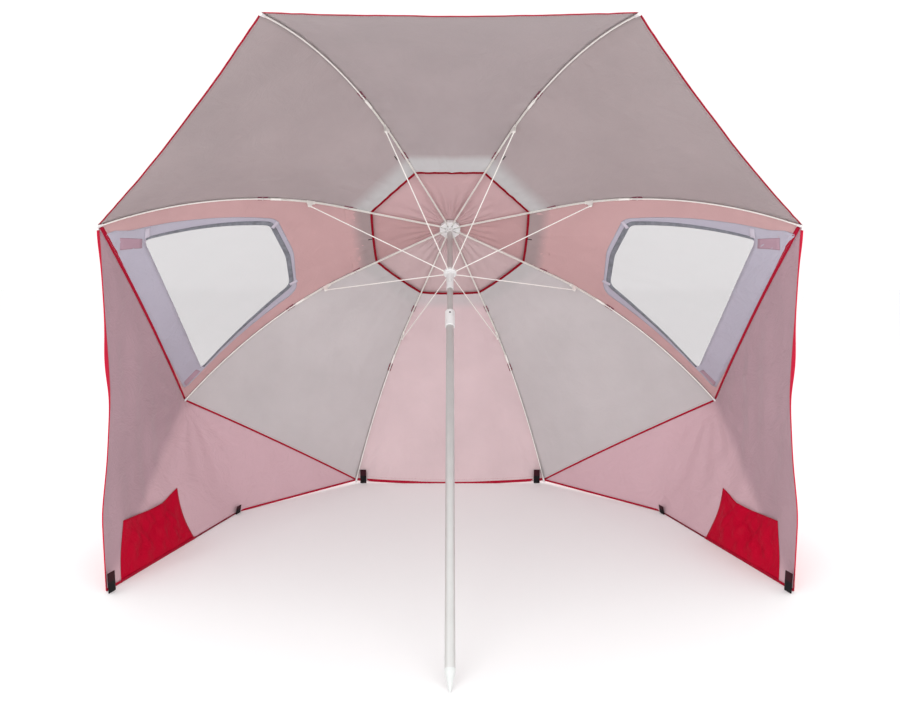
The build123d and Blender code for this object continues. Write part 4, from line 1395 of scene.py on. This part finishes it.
def pocket(wall, points, skins):
    """The red sand pocket, sewn on the wall at three sides and slack in its middle."""
    hem = wall.hem
    out = np.cross(hem, wall.middle - wall.corner)
    out *= np.sign(out[0] * wall.sign)
    out /= np.linalg.norm(out)
    up = np.cross(out, hem)
    up *= np.sign(up[2])
    low_left, low_right, top_right, top_middle, dip, top_left = (np.array(p) for p in POCKET)
    rows, columns = 25, 41
    a = np.linspace(0, 1, columns)[None, :]
    b = np.linspace(0, 1, rows)[:, None]
    bottom = low_left + (low_right - low_left) * a[..., None]
    length = top_right[0] - top_left[0]
    reach = np.array([0.0, (dip[0] - top_left[0]) / length, (top_middle[0] - top_left[0]) / length, 1.0])
    heights = [top_left[1], dip[1], top_middle[1], top_right[1]]
    top_x = top_left[0] + length * a
    top = np.stack([top_x, np.interp(a, reach, heights)], -1)
    flat = bottom * (1 - b)[..., None] + top * b[..., None]
    flat[..., 0] -= 0.016 * np.sin(math.pi * b) * a ** 6
    spots = wall.corner + flat[..., :1] * hem + flat[..., 1:] * up
    spots = spots.reshape(-1, 3)
    tree = bpy.data.objects[f"side_wall_{wall.side}"]
    hits = []
    for spot in spots:
        found, place, _, _ = tree.ray_cast(Vector(spot - out * 0.25), Vector(out))
        hits.append(np.array(place) if found else spot)
    hits = np.array(hits)
    hangs = np.sin(math.pi * np.clip(b, 0.02, 1) * 0.85)
    slack = (np.sin(math.pi * a) ** 0.6 * hangs ** 0.8).reshape(-1)
    ripple = wave_noise(flat[..., 0] * 17, flat[..., 1] * 26, 8.0).reshape(-1)
    creases = np.sin(flat[..., 0] * 70 + flat[..., 1] * 60).reshape(-1) * 0.0016
    fold = (flat - np.array(FOLD_START)) @ np.array([-FOLD_WAY[1], FOLD_WAY[0]])
    valley = -0.0060 * np.exp(-(fold / 0.016) ** 2).reshape(-1)
    stand = 0.0016 + np.maximum(slack * (0.0130 + 0.0135 * ripple + 1.4 * creases + 1.3 * valley), 0)
    hits = hits - out * stand[:, None]
    hits[:, 2] = np.maximum(hits[:, 2], 0.002)
    piece = new_piece(f"sand_pocket_cloth_{wall.side}", hits, grid_faces(rows, columns), [POCKET_RED],
                      uv=flat.reshape(-1, 2))
    area = surface_area(piece)
    thicken(piece, CLOTH)
    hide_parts(f"sand_pocket_{wall.side}")
    sew(piece, wall.rear_body, nearest_skin(wall, points, skins, points_of(piece)))
    return piece


def webbing_loop(name, middle, along, outward, width=0.030, height=0.070, gap=0.0028, lean=0.0):
    """A flattened loop of webbing that stands on the ground: black, with a maroon upper part."""
    low, high = 0.004, height - 0.003
    turns = [(gap / 2, z) for z in np.linspace(low, high, 12)]
    for angle in np.linspace(0, math.pi, 9)[1:-1]:
        turns.append((math.cos(angle) * gap / 2, high + math.sin(angle) * 0.0016))
    turns += [(-gap / 2, z) for z in np.linspace(high, low, 12)]
    for angle in np.linspace(math.pi, 2 * math.pi, 9)[1:-1]:
        turns.append((math.cos(angle) * gap / 2, low + math.sin(angle) * 0.0022))
    turns = np.array(turns)
    line = middle + turns[:, :1] * outward + turns[:, 1:] * (np.array([0, 0, 1.0]) + along * lean)
    way = unit(np.roll(line, -1, axis=0) - np.roll(line, 1, axis=0))
    wide = np.broadcast_to(along, line.shape)
    loop = ribbon(name, line, wide, np.cross(way, wide), width, 0.0012, [BLACK, MAROON], closed=True)
    upper = [int(f.center.z > height * 0.58) for f in loop.data.polygons]
    loop.data.polygons.foreach_set("material_index", upper)
    uv = loop.data.uv_layers.new(name="UVMap")
    for item in loop.data.loops:
        spot = np.array(loop.data.vertices[item.vertex_index].co)
        uv.data[item.index].uv = (float((spot - middle) @ along), float(spot[2]))
    return loop


def loops(wall, points, skins):
    """The webbing loops at the front corner, at the middle and beside the low tip."""
    hem = wall.hem
    inward = np.array([-hem[1], hem[0], 0])
    inward *= -np.sign(inward[0] * wall.sign)
    made = []
    spots = {"corner": (wall.corner - hem * 0.002 + inward * 0.025, 0.070, 0.0),
             "middle": (wall.foot - hem * 0.034 + inward * 0.011, 0.034, 0.35)}
    for label, (spot, height, lean) in spots.items():
        loop = webbing_loop(f"stake_loop_{label}_{wall.side}", spot + np.array([0, 0, 0.0015]), hem, inward,
                            height=height, lean=lean)
        if label == "corner":
            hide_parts(f"stake_loops_{wall.side}")
        weights = nearest_skin(wall, points, skins, spot[None])
        even = {body: np.full(len(loop.data.vertices), float(amount[0])) for body, amount in weights.items()}
        sew(loop, wall.rear_body, even)
        made.append(loop)
    spot = np.array([wall.back[0] - 0.037 * wall.sign, wall.back[1] - 0.014, 0.0015])
    loop = webbing_loop(f"stake_loop_back_{wall.side}", spot, np.array([1.0, 0, 0]), np.array([0, 1.0, 0]))
    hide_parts(f"back_loop_{wall.side}")
    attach(loop, f"rib_{wall.back_rib}")
    return made


panels()
vent()
seams_and_ties()
for side in SIDES:
    side_wall(side)


# ---- Studio ------------------------------------------------------------------------------------
def studio():
    bpy.ops.mesh.primitive_plane_add(size=60)
    floor = bpy.context.object
    floor.name = "floor"
    material, shader = start_material("floor_pale", PALE, 0.9)
    tune(shader, {"Specular IOR Level": 0.1})
    place = add(material, "ShaderNodeTexCoord").outputs["Object"]
    mottle(material, shader, PALE, 0.3, 1.2, place, 0.995, 1.0)
    floor.data.materials.append(material)
    world = bpy.data.worlds.new("studio")
    bpy.context.scene.world = world
    world.use_nodes = True
    tune(world.node_tree.nodes["Background"], {"Color": (1, 1, 1, 1), "Strength": WORLD_LIGHT})
    for name, place, size, power, aim in LIGHTS:
        light = bpy.data.lights.new(name, "AREA")
        light.size = size
        light.energy = power
        lamp = new_object(name, light)
        lamp.location = place
        lamp.rotation_euler = (Vector(aim) - Vector(place)).to_track_quat("-Z", "Y").to_euler()
    bpy.context.scene.view_settings.view_transform = "Standard"


def camera():
    data = bpy.data.cameras.new("camera")
    data.lens = LENS
    data.sensor_width = FILM_WIDTH
    eye = new_object("camera", data)
    eye.location = EYE
    eye.rotation_euler = (math.radians(90 - EYE_DROP), 0, 0)
    bpy.context.scene.camera = eye


studio()
camera()
